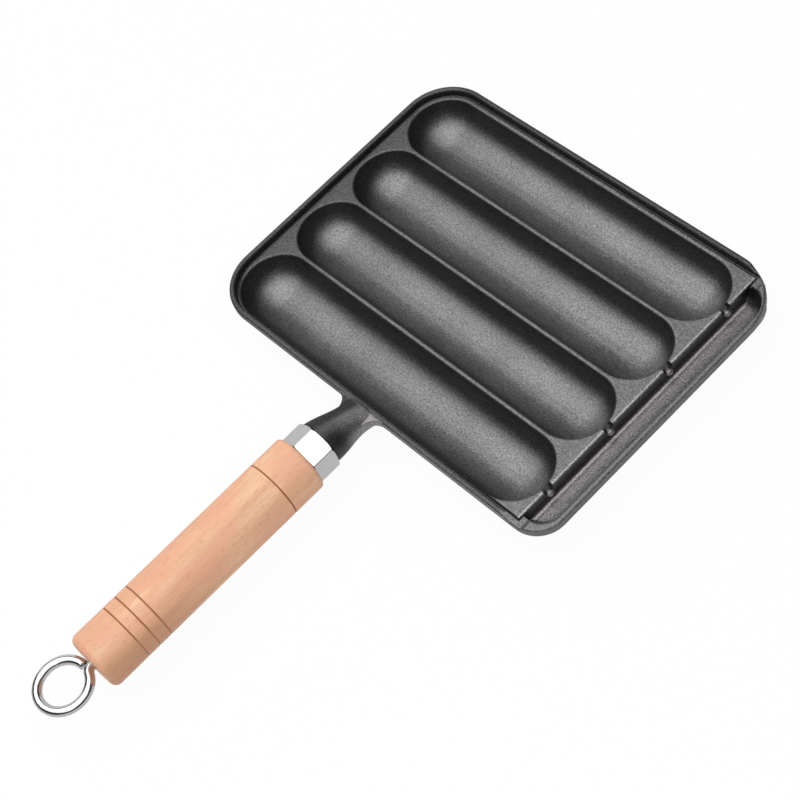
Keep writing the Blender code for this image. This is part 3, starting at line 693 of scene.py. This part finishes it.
def trough_body():
    """Outer walls of the trough, which follow its hollow."""
    under = TROUGH_DEPTH + TROUGH_FLOOR_THICKNESS
    reach = TROUGH_WIDTH + TROUGH_WALL - TROUGH_FLOOR_WIDTH
    corners = (TROUGH_FAR_CORNER_RADIUS + TROUGH_WALL, TROUGH_CORNER_RADIUS + TROUGH_WALL)
    rings = []
    for i in range(TROUGH_STEPS + 1):
        a = math.pi / 2 * i / TROUGH_STEPS
        side = TROUGH_FLOOR_WIDTH + reach * math.sin(a)
        end = TROUGH_END_SLOPE * (1.0 - math.sin(a)) - TROUGH_WALL
        drop = under - (under - LIP_DEPTH) * (1.0 - math.cos(a))
        rings.append((trough_ring(-TROUGH_BACK_WALL, side, end, *corners), -drop))
    return stacked("trough body", rings)


def bulge(y, ring_count):
    """Round shell under a groove, with its ground strip below."""
    mesh = capsule(
        "bulge", GROOVE_LENGTH + 2 * SHELL_THICKNESS, 2 * SHELL_HALF, SHELL_DEPTH,
        BULGE_SEGMENTS, ring_count,
    )
    cut_level(mesh, BULGE_TOP, keep_below=True)
    cut_level(mesh, BASE_Z, keep_below=False)
    return moved(mesh, GROOVE_MID_X, y)


def smoothstep(t):
    t = min(max(t, 0.0), 1.0)
    return t * t * (3 - 2 * t)


def dip_section():
    """(x, height) along the rim through a pouring dip."""
    depth = RIM_HEIGHT - SPOUT_FLOOR_RISE
    points = []
    for i in range(SPOUT_STEPS + 1):
        t = i / SPOUT_STEPS
        x = SPOUT_TOP_X0 + t * (SPOUT_FLOOR_X0 - SPOUT_TOP_X0)
        points.append((x, RIM_HEIGHT + SLIVER - smoothstep(t) * depth))
    for i in range(SPOUT_STEPS + 1):
        t = i / SPOUT_STEPS
        x = SPOUT_FLOOR_X1 + t * (SPOUT_TOP_X1 - SPOUT_FLOOR_X1)
        points.append((x, RIM_HEIGHT + SLIVER - (1.0 - smoothstep(t)) * depth))
    return points


def spout(side):
    """Dip in the rim, which keeps its round outer edge; side is +1 far, -1 near."""
    edge = OUTER_Y1 if side > 0 else OUTER_Y0
    radius = FAR_CORNER_RADIUS if side > 0 else NEAR_CORNER_RADIUS
    inside = edge - side * (OUTER_CORNER - RIM_THICKNESS) / 2
    rings = []
    for x, z in dip_section():
        turn = math.asin(max(x - OUTER_X1 + radius, 0.0) / radius)
        face = edge - side * radius * (1.0 - math.cos(turn))
        outside = face + side * OVERCUT
        ring = [Vector((x, outside, z - RIM_EDGE_RADIUS))]
        for inset, drop in edge_round(RIM_EDGE_RADIUS):
            ring.append(Vector((x, face - side * inset / math.cos(turn), z - drop)))
        ring.append(Vector((x, inside, z)))
        ring.append(Vector((x, inside, RIM_HEIGHT + OVERCUT)))
        ring.append(Vector((x, outside, RIM_HEIGHT + OVERCUT)))
        rings.append(ring)
    return loft("spout", rings)


def along_drain(mesh, y):
    """Lay a mesh that stands on Z along the drain of the groove at y."""
    mesh.transform(Matrix.Rotation(math.pi / 2, 4, "Y"))
    return moved(mesh, y=y, z=-DRAIN_CENTRE_DEPTH)


def drain_lip(y):
    """Half-round lip under a drain, its free end rounded."""
    radius = DRAIN_RADIUS + DRAIN_LIP_THICKNESS
    profile = [(radius, -LAND_TROUGH_END / 2)]
    for drop, inset in edge_round(DRAIN_LIP_THICKNESS):
        profile.append((radius - drop, DRAIN_LIP_REACH - inset))
    lip = along_drain(turned("drain lip", profile, DRAIN_SEGMENTS), y)
    cut_level(lip, DRAIN_LIP_TOP, keep_below=True)
    return lip


def drain(y):
    start = -LAND_TROUGH_END - 2 * DRAIN_RADIUS
    end = DRAIN_LIP_REACH + OVERCUT
    bore = extruded("drain", circle(DRAIN_RADIUS, DRAIN_SEGMENTS), start, end)
    return along_drain(bore, y)


def drain_nub(y):
    """Small round casting nub in the mouth of a drain."""
    bm = bmesh.new()
    bmesh.ops.create_uvsphere(
        bm, u_segments=DRAIN_SEGMENTS, v_segments=DRAIN_SEGMENTS // 2, radius=1.0
    )
    size = Vector((DRAIN_NUB_LENGTH, DRAIN_NUB_WIDTH, DRAIN_NUB_HEIGHT)) / 2
    bmesh.ops.scale(bm, vec=size, verts=bm.verts)
    return moved(mesh_from(bm, "drain nub"), DRAIN_NUB_X, y, DRAIN_NUB_TOP - size.z)


def tang_section(t):
    """Section of the tang at t, from 0 at the rim to 1 at its shoulder."""
    neck = TANG_NECK_AT
    if t < neck:
        blend = smoothstep(t / neck)
        half = TANG_ROOT_HALF_WIDTH + blend * (TANG_NECK_RADIUS - TANG_ROOT_HALF_WIDTH)
    else:
        blend = smoothstep((t - neck) / (1 - neck))
        half = TANG_NECK_RADIUS + blend * (TANG_END_RADIUS - TANG_NECK_RADIUS)
    root_top = RIM_HEIGHT + TANG_ROOT_RISE - HANDLE_RISE
    top = root_top + t * (TANG_END_RADIUS - root_top)
    bottom = -TANG_DROP + t * (TANG_DROP - TANG_END_RADIUS)
    start = OUTER_Y0 + RIM_THICKNESS / 2
    squareness = 2.0 + TANG_SQUARENESS * (1.0 - t)
    ring = []
    for i in range(TANG_SEGMENTS):
        a = 2 * math.pi * (i + 0.5) / TANG_SEGMENTS
        across = math.copysign(abs(math.cos(a)) ** (2 / squareness), math.cos(a))
        up = math.copysign(abs(math.sin(a)) ** (2 / squareness), math.sin(a))
        ring.append(Vector((
            HANDLE_X + half * across,
            start + t * (SHOULDER_Y - start),
            HANDLE_RISE + (top + bottom) / 2 + (top - bottom) / 2 * up,
        )))
    return ring


def tang_spine():
    sections = [tang_section(i / (TANG_STATIONS - 1)) for i in range(TANG_STATIONS)]
    return loft("tang spine", sections)


def tang_web():
    """Flat web at rim level, filleted in plan between the rim and the tang."""
    radius = TANG_WEB_RADIUS
    reach = TANG_NECK_RADIUS + radius
    right = [Vector((reach, RIM_THICKNESS / 2))]
    right += [p + Vector((reach, -radius)) for p in corner_arc((0, 0), radius, math.pi / 2)]
    left = [Vector((-p.x, p.y)) for p in reversed(right)]

    def outline(drop):
        return [Vector((HANDLE_X + p.x * (1 - drop / reach), OUTER_Y0 + p.y)) for p in right + left]

    rings = [(outline(0.0), -LIP_DEPTH + FIT)]
    for inset, drop in edge_round(RIM_EDGE_RADIUS):
        rings.append((outline(inset), RIM_HEIGHT - FIT - drop))
    return stacked("tang web", rings)


def on_handle_axis(mesh):
    mesh.transform(HANDLE_AXIS)
    return mesh


def pan_casting():
    pan = Solid(rim_block())
    pan.cut(rim_recess())
    pan.cut(spout(1)).cut(spout(-1))
    pan.add(trough_body())
    # Unlike rows of facets keep the edges of neighbouring shells from coinciding
    for i, y in enumerate(GROOVE_Y):
        pan.add(bulge(y, BULGE_RINGS + 2 * (i % 2)))
    pan.add(tang_web())
    pan.add(tang_spine())
    spigot = extruded(
        "spigot", hexagon(PLUG_ACROSS_FLATS), SPIGOT_END_Y, SHOULDER_Y + FIT
    )
    pan.add(on_handle_axis(spigot))
    bore = extruded(
        "bore", circle(HOLE_RADIUS, HOLE_SEGMENTS), SPIGOT_END_Y - OVERCUT,
        ROD_FRONT_Y + ROD_END_ROOM,
    )
    pan.cut(on_handle_axis(bore))
    pan.cut(trough_hollow())
    pan.add(plate_slab())
    pan.add(joined("drain lips", [drain_lip(y) for y in GROOVE_Y]))
    pan.cut(joined("grooves", [groove(y) for y in GROOVE_Y]))
    pan.cut(joined("drains", [drain(y) for y in GROOVE_Y]))
    pan.add(joined("drain nubs", [drain_nub(y) for y in GROOVE_Y]))
    return pan.mesh


# Handle

def hex_ferrule():
    """Six-sided collar, its ends turned down so that the flats end in curves."""
    body = extruded(
        "ferrule", hexagon(FERRULE_ACROSS_FLATS, FERRULE_EDGE_RADIUS), 0.0, FERRULE_LENGTH
    )
    corner = FERRULE_ACROSS_FLATS / math.sqrt(3)
    end = FERRULE_ACROSS_FLATS / 2 - FERRULE_END_CHAMFER / 3
    low = corner - FERRULE_END_CHAMFER / 3
    blank = [(low, 0.0), (corner, FERRULE_END_CHAMFER / 3)]
    for i in range(EDGE_STEPS + 1):
        a = math.pi / 2 * i / EDGE_STEPS
        blank.append((
            end + (corner - end) * math.cos(a),
            FERRULE_LENGTH - FERRULE_END_CHAMFER * (1 - math.sin(a)),
        ))
    socket = extruded(
        "socket", hexagon(SOCKET_ACROSS_FLATS, 2 * FIT), -OVERCUT, FERRULE_LENGTH + OVERCUT
    )
    ferrule = Solid(body).keep(turned("blank", blank)).cut(socket)
    return on_handle_axis(moved(ferrule.mesh, z=FERRULE_REAR_Y))


def wood_profile():
    """(radius, height) from the rear face of the handle to its front face."""
    profile = []
    for drop, inset in edge_round(WOOD_REAR_ROUNDING, WOOD_REAR_STEPS):
        profile.append((WOOD_RADIUS - inset, drop))
    for height in RING_HEIGHTS:
        half = RING_LINE_WIDTH / 2
        profile.append((WOOD_RADIUS, height - half))
        profile.append((WOOD_RADIUS - RING_LINE_DEPTH, height - half / 4))
        profile.append((WOOD_RADIUS - RING_LINE_DEPTH, height + half / 4))
        profile.append((WOOD_RADIUS, height + half))
    for inset, drop in edge_round(WOOD_FRONT_ROUNDING):
        profile.append((WOOD_RADIUS - inset, WOOD_LENGTH - drop))
    return profile


def wooden_handle():
    tenon_end = SPIGOT_END_Y - FIT - WOOD_REAR_Y
    wood = Solid(turned("wooden handle", wood_profile()))
    wood.add(extruded(
        "tenon", hexagon(PLUG_ACROSS_FLATS), WOOD_LENGTH - WOOD_FRONT_ROUNDING, tenon_end
    ))
    wood.cut(extruded(
        "bore", circle(HOLE_RADIUS, HOLE_SEGMENTS), -OVERCUT, tenon_end + OVERCUT
    ))
    return on_handle_axis(moved(wood.mesh, z=WOOD_REAR_Y))


def eye_rod():
    """Rod that bends aside just behind the wood and closes into an eye."""
    bend_height = EYE_Y + math.sqrt(
        (EYE_NECK_RADIUS + EYE_RADIUS) ** 2 - (EYE_NECK_RADIUS - EYE_OFFSET) ** 2
    )
    join = math.atan2(bend_height - EYE_Y, EYE_NECK_RADIUS - EYE_OFFSET)
    path = [(0.0, ROD_FRONT_Y)]
    for i in range(CORNER_STEPS + 1):
        a = join * i / CORNER_STEPS
        path.append((
            EYE_NECK_RADIUS * (1 - math.cos(a)), bend_height - EYE_NECK_RADIUS * math.sin(a)
        ))
    sweep = 2 * math.pi - EYE_END_ANGLE + join
    for i in range(1, EYE_STEPS + 1):
        a = join - sweep * i / EYE_STEPS
        path.append((EYE_OFFSET + EYE_RADIUS * math.cos(a), EYE_Y + EYE_RADIUS * math.sin(a)))
    return on_handle_axis(swept("eye rod", path, ROD_RADIUS, ROD_END_CHAMFER))


# Finishes

class Nodes:
    """A node tree, with short calls to add and join nodes."""

    def __init__(self, tree):
        self.tree = tree

    def node(self, kind, **settings):
        node = self.tree.nodes.new(kind)
        for name, value in settings.items():
            setattr(node, name, value)
        return node

    def feed(self, socket, value):
        """Give an input a constant or the output of another node."""
        if isinstance(value, bpy.types.NodeSocket):
            self.tree.links.new(value, socket)
        else:
            socket.default_value = value

    def put(self, node, **values):
        for name, value in values.items():
            self.feed(node.inputs[name.replace("_", " ")], value)
        return node

    def ranged(self, value, levels=(0.0, 1.0), ends=(0.0, 1.0), smooth=False):
        """From one end to the other while the value goes between its levels."""
        node = self.node("ShaderNodeMapRange")
        if smooth:
            node.interpolation_type = "SMOOTHSTEP"
        self.put(node, Value=value, From_Min=levels[0], From_Max=levels[1])
        self.put(node, To_Min=ends[0], To_Max=ends[1])
        return node.outputs["Result"]

    def maths(self, operation, first, second):
        node = self.node("ShaderNodeMath", operation=operation)
        self.feed(node.inputs[0], first)
        self.feed(node.inputs[1], second)
        return node.outputs["Value"]

    def product(self, first, *others):
        for other in others:
            first = self.maths("MULTIPLY", first, other)
        return first


class Shader(Nodes):
    """Node tree of one material, read in the object's own metres."""

    def __init__(self, name):
        self.material = bpy.data.materials.new(name)
        self.material.use_nodes = True
        super().__init__(self.material.node_tree)
        self.bsdf = self.tree.nodes["Principled BSDF"]
        self.place = self.node("ShaderNodeTexCoord").outputs["Object"]
        axes = self.put(self.node("ShaderNodeSeparateXYZ"), Vector=self.place)
        self.x, self.y, self.z = axes.outputs

    def noise(self, scale, detail, roughness, place=None):
        node = self.node("ShaderNodeTexNoise")
        self.put(node, Scale=scale, Detail=detail, Roughness=roughness, Vector=place or self.place)
        return node.outputs["Fac"]

    def grain(self, across, along, detail, roughness):
        """Noise that is drawn out along Y, the way that the handle runs."""
        node = self.node("ShaderNodeMapping")
        self.put(node, Vector=self.place, Scale=(across, along, across))
        return self.noise(1.0, detail, roughness, node.outputs["Vector"])

    def fade(self, axis, place, offsets, level=1.0, rising=True, smooth=True):
        """0 on one side of a place and the level on the other."""
        levels = (place + offsets[0], place + offsets[1])
        ends = (0.0, level) if rising else (level, 0.0)
        return self.ranged(axis, levels, ends, smooth)

    def mixed(self, factor, first, second, blend="MIX"):
        node = self.node("ShaderNodeMix", data_type="RGBA", blend_type=blend)
        factor_in, first_in, second_in, colour_out = 0, 6, 7, 2
        self.feed(node.inputs[factor_in], factor)
        self.feed(node.inputs[first_in], first)
        self.feed(node.inputs[second_in], second)
        return node.outputs[colour_out]

    def bump(self, height, relief, normal=None):
        node = self.node("ShaderNodeBump")
        self.put(node, Height=height, Distance=relief[0], Strength=relief[1])
        if normal:
            self.put(node, Normal=normal)
        return node.outputs["Normal"]


def plate_painted_shade(s, base, top):
    """Painted shade on the groove walls above their bottoms, and on the top towards its left end.
    """
    wall = s.maths("SUBTRACT", s.fade(s.z, PLATE_TOP, WALL_FADE), top)
    base = s.mixed(s.product(wall, WALL_PAINTED_SHADE), base, IRON_PAINTED_SHADE)
    # painted shade: the top darker towards the pan's left end
    left_shade = s.fade(s.x, PAN_LEFT, LEFT_SHADE_FADE)
    return s.mixed(top, base, s.mixed(left_shade, IRON_LEFT_SHADE, IRON_TOP))


def rim_painted_shade(s, base):
    """Painted shade on the rim as far as the grooves go, most of all on the far side."""
    rim = s.product(
        s.fade(s.z, PLATE_TOP, RIM_TOP_FADE, smooth=False),
        s.fade(s.x, PLATE_END, RIM_STOP_FADE, RIM_SHADE_COVER, rising=False, smooth=False),
        s.fade(s.y, PAN_NEAR, RIM_NEAR_FADE, smooth=False),
    )
    base = s.mixed(rim, base, IRON_RIM_SHADE)
    far = s.product(
        s.fade(s.y, PLATE_FAR, FAR_RIM_FADE, FAR_RIM_SHADE, smooth=False),
        s.fade(s.x, PLATE_END, FAR_RIM_STOP_FADE, rising=False, smooth=False),
    )
    return s.mixed(far, base, IRON_PAINTED_SHADE)


def tang_painted_light(s, base):
    """Painted shade on the left and on the right flank beside the ferrule, a painted highlight on
    the right where it meets the rim.
    """
    tang = s.fade(s.y, PAN_NEAR, TANG_FADE, rising=False, smooth=False)
    by_ferrule = s.fade(s.y, TANG_END, FERRULE_FADE, rising=False)
    left = s.fade(s.x, TANG_X, TANG_LEFT_FADE, TANG_LEFT_SHADE, rising=False)
    flank = s.product(s.fade(s.x, TANG_X, TANG_FLANK_FADE, TANG_FLANK_SHADE), by_ferrule)
    tang_shade = s.product(s.maths("ADD", left, flank), tang)
    by_rim = s.maths("SUBTRACT", 1.0, by_ferrule)
    lit_side = s.product(s.fade(s.x, TANG_X, TANG_HIGHLIGHT_FADE, TANG_HIGHLIGHT), by_rim, tang)
    return s.mixed(lit_side, s.mixed(tang_shade, base, IRON_PAINTED_SHADE), IRON_PAINTED_LIGHT)


def trough_painted_light(s, base):
    """Floor of the trough painted lighter, between painted shade on its wall and at its far end."""
    sunk = s.fade(s.z, PLATE_TOP, SUNK_FADE, rising=False)
    wall = s.fade(s.x, PLATE_END, TROUGH_WALL_FADE, TROUGH_WALL_SHADE, smooth=False)
    base = s.mixed(s.product(wall, sunk), base, IRON_PAINTED_SHADE)
    trough = s.product(s.fade(s.x, PLATE_END, TROUGH_FADE), sunk)
    base = s.mixed(trough, base, IRON_PAINTED_LIGHT)
    far_end = s.fade(s.y, TROUGH_FAR, TROUGH_FAR_FADE, TROUGH_FAR_SHADE)
    return s.mixed(s.product(trough, far_end), base, IRON_PAINTED_SHADE)


def edge_painted_highlight(s, base, top):
    """Painted highlight along the plate's edge over the trough."""
    start = s.fade(s.x, PLATE_END, EDGE_START_FADE)
    stop = s.fade(s.x, PLATE_END, EDGE_STOP_FADE, smooth=False)
    edge = s.product(
        s.maths("SUBTRACT", start, stop),
        top,
        s.fade(s.y, PLATE_NEAR, EDGE_NEAR_FADE, smooth=False),
        s.fade(s.y, PLATE_FAR, EDGE_FAR_FADE, rising=False, smooth=False),
    )
    return s.mixed(edge, base, IRON_EDGE_HIGHLIGHT)


def cast_iron():
    """Seasoned sand casting: fine grain all over, with painted shade and painted highlights from
    place to place.
    """
    s = Shader("seasoned_cast_iron")
    grain = s.noise(*IRON_GRAIN)
    patches = s.noise(*IRON_PATCHES)
    top = s.fade(s.z, PLATE_TOP, TOP_FADE)
    base = s.mixed(s.ranged(patches, IRON_PATCH_LEVELS), IRON_DARK, IRON_LIGHT)
    base = rim_painted_shade(s, plate_painted_shade(s, base, top))
    base = trough_painted_light(s, tang_painted_light(s, base))
    base = edge_painted_highlight(s, base, top)
    speck = s.mixed(1.0, base, IRON_SPECK, blend="MULTIPLY")
    base = s.mixed(s.ranged(grain, IRON_SPECK_LEVELS), speck, base)
    rough = s.ranged(grain, IRON_ROUGH_LEVELS, IRON_ROUGHNESS)
    rough = s.maths("ADD", rough, s.product(top, IRON_TOP_ROUGHER))
    normal = s.bump(grain, IRON_GRAIN_RELIEF)
    normal = s.bump(s.noise(*IRON_PORES), IRON_PORE_RELIEF, normal)
    s.put(s.bsdf, Base_Color=base, Roughness=rough, Normal=normal, Metallic=1.0)
    return s.material


def chrome():
    """Bright plating with faint polishing waves and fine scuffs."""
    s = Shader("chrome_plate")
    scuffs = s.grain(*CHROME_SCUFFS)
    tone = s.mixed(s.ranged(scuffs, CHROME_TONE_LEVELS), CHROME_DARK, CHROME_LIGHT)
    rough = s.ranged(scuffs, CHROME_ROUGH_LEVELS, CHROME_ROUGHNESS)
    normal = s.bump(s.noise(*CHROME_WAVES), CHROME_RELIEF)
    s.put(s.bsdf, Base_Color=tone, Roughness=rough, Normal=normal, Metallic=1.0)
    return s.material


def scorched_lines(s):
    """1 on the ring lines of the handle, else 0."""
    lines = []
    for y in RING_LINES:
        off = s.maths("ABSOLUTE", s.maths("SUBTRACT", s.y, y), 0.0)
        lines.append(s.fade(off, 0.0, RING_LINE_FADE, rising=False))
    scorch = lines[0]
    for line in lines[1:]:
        scorch = s.maths("MAXIMUM", scorch, line)
    return scorch


def beech():
    """Turned beech: long fine grain, short flecks, scorched ring lines and painted shade on its +X
    side towards the rear.
    """
    s = Shader("turned_beech")
    streaks = s.grain(*WOOD_STREAKS)
    bands = s.ranged(s.grain(*WOOD_BANDS), WOOD_BAND_LEVELS)
    tone = s.mixed(bands, WOOD_DARK, WOOD_LIGHT)
    marks = (
        (s.grain(*WOOD_MOTTLE), WOOD_MOTTLE_LEVELS, WOOD_MOTTLE_COVER, WOOD_PINK),
        (streaks, WOOD_STREAK_LEVELS, WOOD_STREAK_COVER, WOOD_STREAK),
        (s.grain(*WOOD_FLECKS), WOOD_FLECK_LEVELS, WOOD_FLECK_COVER, WOOD_FLECK),
    )
    for noise, levels, cover, colour in marks:
        tone = s.mixed(s.ranged(noise, levels, (0.0, cover)), tone, colour)
    tone = s.mixed(scorched_lines(s), tone, WOOD_SCORCHED)
    wood_shade = s.product(
        s.fade(s.y, WOOD_REAR, WOOD_REAR_FADE, WOOD_SHADE_COVER, rising=False),
        s.fade(s.x, TANG_X, WOOD_SIDE_FADE),
    )
    tone = s.mixed(wood_shade, tone, WOOD_SHADE)
    rough = s.ranged(streaks, WOOD_ROUGH_LEVELS, WOOD_ROUGHNESS)
    s.put(s.bsdf, Base_Color=tone, Roughness=rough, Normal=s.bump(streaks, WOOD_RELIEF))
    s.put(s.bsdf, Specular_IOR_Level=WOOD_SPECULAR)
    s.put(s.bsdf, Coat_Weight=WOOD_COAT, Coat_Roughness=COAT_ROUGHNESS)
    return s.material


# Stage

def direction(azimuth, elevation):
    flat = math.cos(elevation)
    return Vector((flat * math.cos(azimuth), flat * math.sin(azimuth), math.sin(elevation)))


def add_camera():
    data = bpy.data.cameras.new("camera")
    data.lens = CAMERA_LENS
    data.sensor_width = CAMERA_SENSOR
    data.clip_start = CAMERA_CLOSEST
    towards = direction(CAMERA_AZIMUTH, CAMERA_ELEVATION)
    right = Vector((0, 0, 1)).cross(towards).normalized()
    level = Matrix((right, towards.cross(right), towards)).transposed().to_4x4()
    camera = bpy.data.objects.new("camera", data)
    place = Matrix.Translation(TO_ROW @ CAMERA_AIM + towards * CAMERA_DISTANCE)
    camera.matrix_world = place @ level @ Matrix.Rotation(CAMERA_ROLL, 4, "Z")
    bpy.context.scene.collection.objects.link(camera)
    bpy.context.scene.camera = camera


def add_softbox(name, azimuth, elevation, distance, size, power):
    data = bpy.data.lights.new(name, "AREA")
    data.shape = "RECTANGLE"
    data.size, data.size_y = size
    data.energy = power
    lamp = bpy.data.objects.new(name, data)
    towards = direction(azimuth, elevation)
    up = Vector((0, 1, 0)) if elevation > math.pi / 4 else Vector((0, 0, 1))
    side = up.cross(towards).normalized()
    turn = Matrix((side, towards.cross(side), towards)).transposed().to_4x4()
    lamp.matrix_world = Matrix.Translation(towards * distance) @ turn
    bpy.context.scene.collection.objects.link(lamp)


def seen_directly(nodes):
    """1 where a camera, mirror or glass ray arrives, else 0."""
    path = nodes.node("ShaderNodeLightPath")
    seen = path.outputs["Is Camera Ray"]
    for name in ("Is Glossy Ray", "Is Transmission Ray"):
        seen = nodes.maths("MAXIMUM", seen, path.outputs[name])
    return seen


def white_paper():
    """Paper that is clean where it is looked at, but keeps some shadow."""
    material = bpy.data.materials.new("white_paper")
    material.use_nodes = True
    nodes = Nodes(material.node_tree)
    nodes.tree.nodes.clear()
    paper = nodes.put(nodes.node("ShaderNodeBsdfDiffuse"), Color=FLOOR_COLOUR)
    in_mirrors = nodes.node("ShaderNodeLightPath").outputs["Is Glossy Ray"]
    level = nodes.ranged(in_mirrors, ends=(1.0, FLOOR_IN_MIRRORS))
    glow = nodes.put(nodes.node("ShaderNodeEmission"), Strength=level)
    share = nodes.product(seen_directly(nodes), FLOOR_CLEAN)
    mix = nodes.node("ShaderNodeMixShader")
    for socket, value in zip(mix.inputs, (share, paper.outputs[0], glow.outputs[0])):
        nodes.feed(socket, value)
    nodes.put(nodes.node("ShaderNodeOutputMaterial"), Surface=mix.outputs[0])
    return material


def add_floor():
    bm = bmesh.new()
    bmesh.ops.create_grid(
        bm, x_segments=FLOOR_SEGMENTS, y_segments=FLOOR_SEGMENTS, size=FLOOR_SIZE / 2
    )
    floor = bpy.data.objects.new("floor", mesh_from(bm, "floor"))
    bpy.context.scene.collection.objects.link(floor)
    floor.data.materials.append(white_paper())


def add_world():
    """White where the camera looks past the floor, a low even light elsewhere."""
    world = bpy.data.worlds.new("studio")
    bpy.context.scene.world = world
    world.use_nodes = True
    nodes = Nodes(world.node_tree)
    looked_at = nodes.node("ShaderNodeLightPath").outputs["Is Camera Ray"]
    level = nodes.ranged(looked_at, ends=(WORLD_LEVEL, 1.0))
    nodes.put(nodes.tree.nodes["Background"], Strength=level, Color=WHITE)


# Frame

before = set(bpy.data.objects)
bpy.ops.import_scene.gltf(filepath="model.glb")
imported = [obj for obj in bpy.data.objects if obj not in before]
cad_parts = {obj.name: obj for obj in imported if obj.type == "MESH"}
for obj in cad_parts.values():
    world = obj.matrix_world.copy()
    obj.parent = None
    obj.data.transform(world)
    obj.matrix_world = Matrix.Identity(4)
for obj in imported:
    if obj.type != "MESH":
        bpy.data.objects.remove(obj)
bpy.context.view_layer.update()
pan_low, pan_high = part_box("pan_body")
TO_ROW = Matrix.Translation(
    (pan_low.x - OUTER_X0, pan_high.y - OUTER_Y1, pan_low.z - BASE_Z)
)


def in_row(x=0.0, y=0.0):
    """A place on the plate's level, in the row frame."""
    return TO_ROW @ Vector((x, y, 0))


# Places in the row frame, at which the finishes change
PLATE_TOP = in_row().z
PLATE_END = in_row(x=PLATE_OVERHANG).x
PLATE_NEAR = in_row(y=PLATE_Y0).y
PLATE_FAR = in_row(y=PLATE_Y1).y
TROUGH_FAR = in_row(y=TROUGH_Y1).y
PAN_LEFT = pan_low.x
PAN_NEAR = in_row(y=OUTER_Y0).y
TANG_X = in_row(x=HANDLE_X).x
TANG_END = in_row(y=SHOULDER_Y).y
WOOD_REAR = in_row(y=WOOD_REAR_Y).y
RING_LINES = [WOOD_REAR + height for height in RING_HEIGHTS]

# Pieces
IRON = cast_iron()
CHROME = chrome()
BEECH = beech()
finished("pan_casting", pan_casting(), IRON, "pan", "pan_body")
finished("hexagonal_ferrule", hex_ferrule(), CHROME, "pan", "hex_ferrule")
finished("turned_handle", wooden_handle(), BEECH, "pan", "wooden_handle")
finished("hanging_eye_rod", eye_rod(), CHROME, "rod", "eye_rod")

# Picture
add_floor()
add_world()
add_softbox("key softbox", KEY_AZIMUTH, KEY_ELEVATION, KEY_DISTANCE, KEY_SIZE, KEY_POWER)
add_softbox("back softbox", BACK_AZIMUTH, BACK_ELEVATION, BACK_DISTANCE, BACK_SIZE, BACK_POWER)
add_camera()
bpy.context.scene.view_settings.view_transform = "Standard"
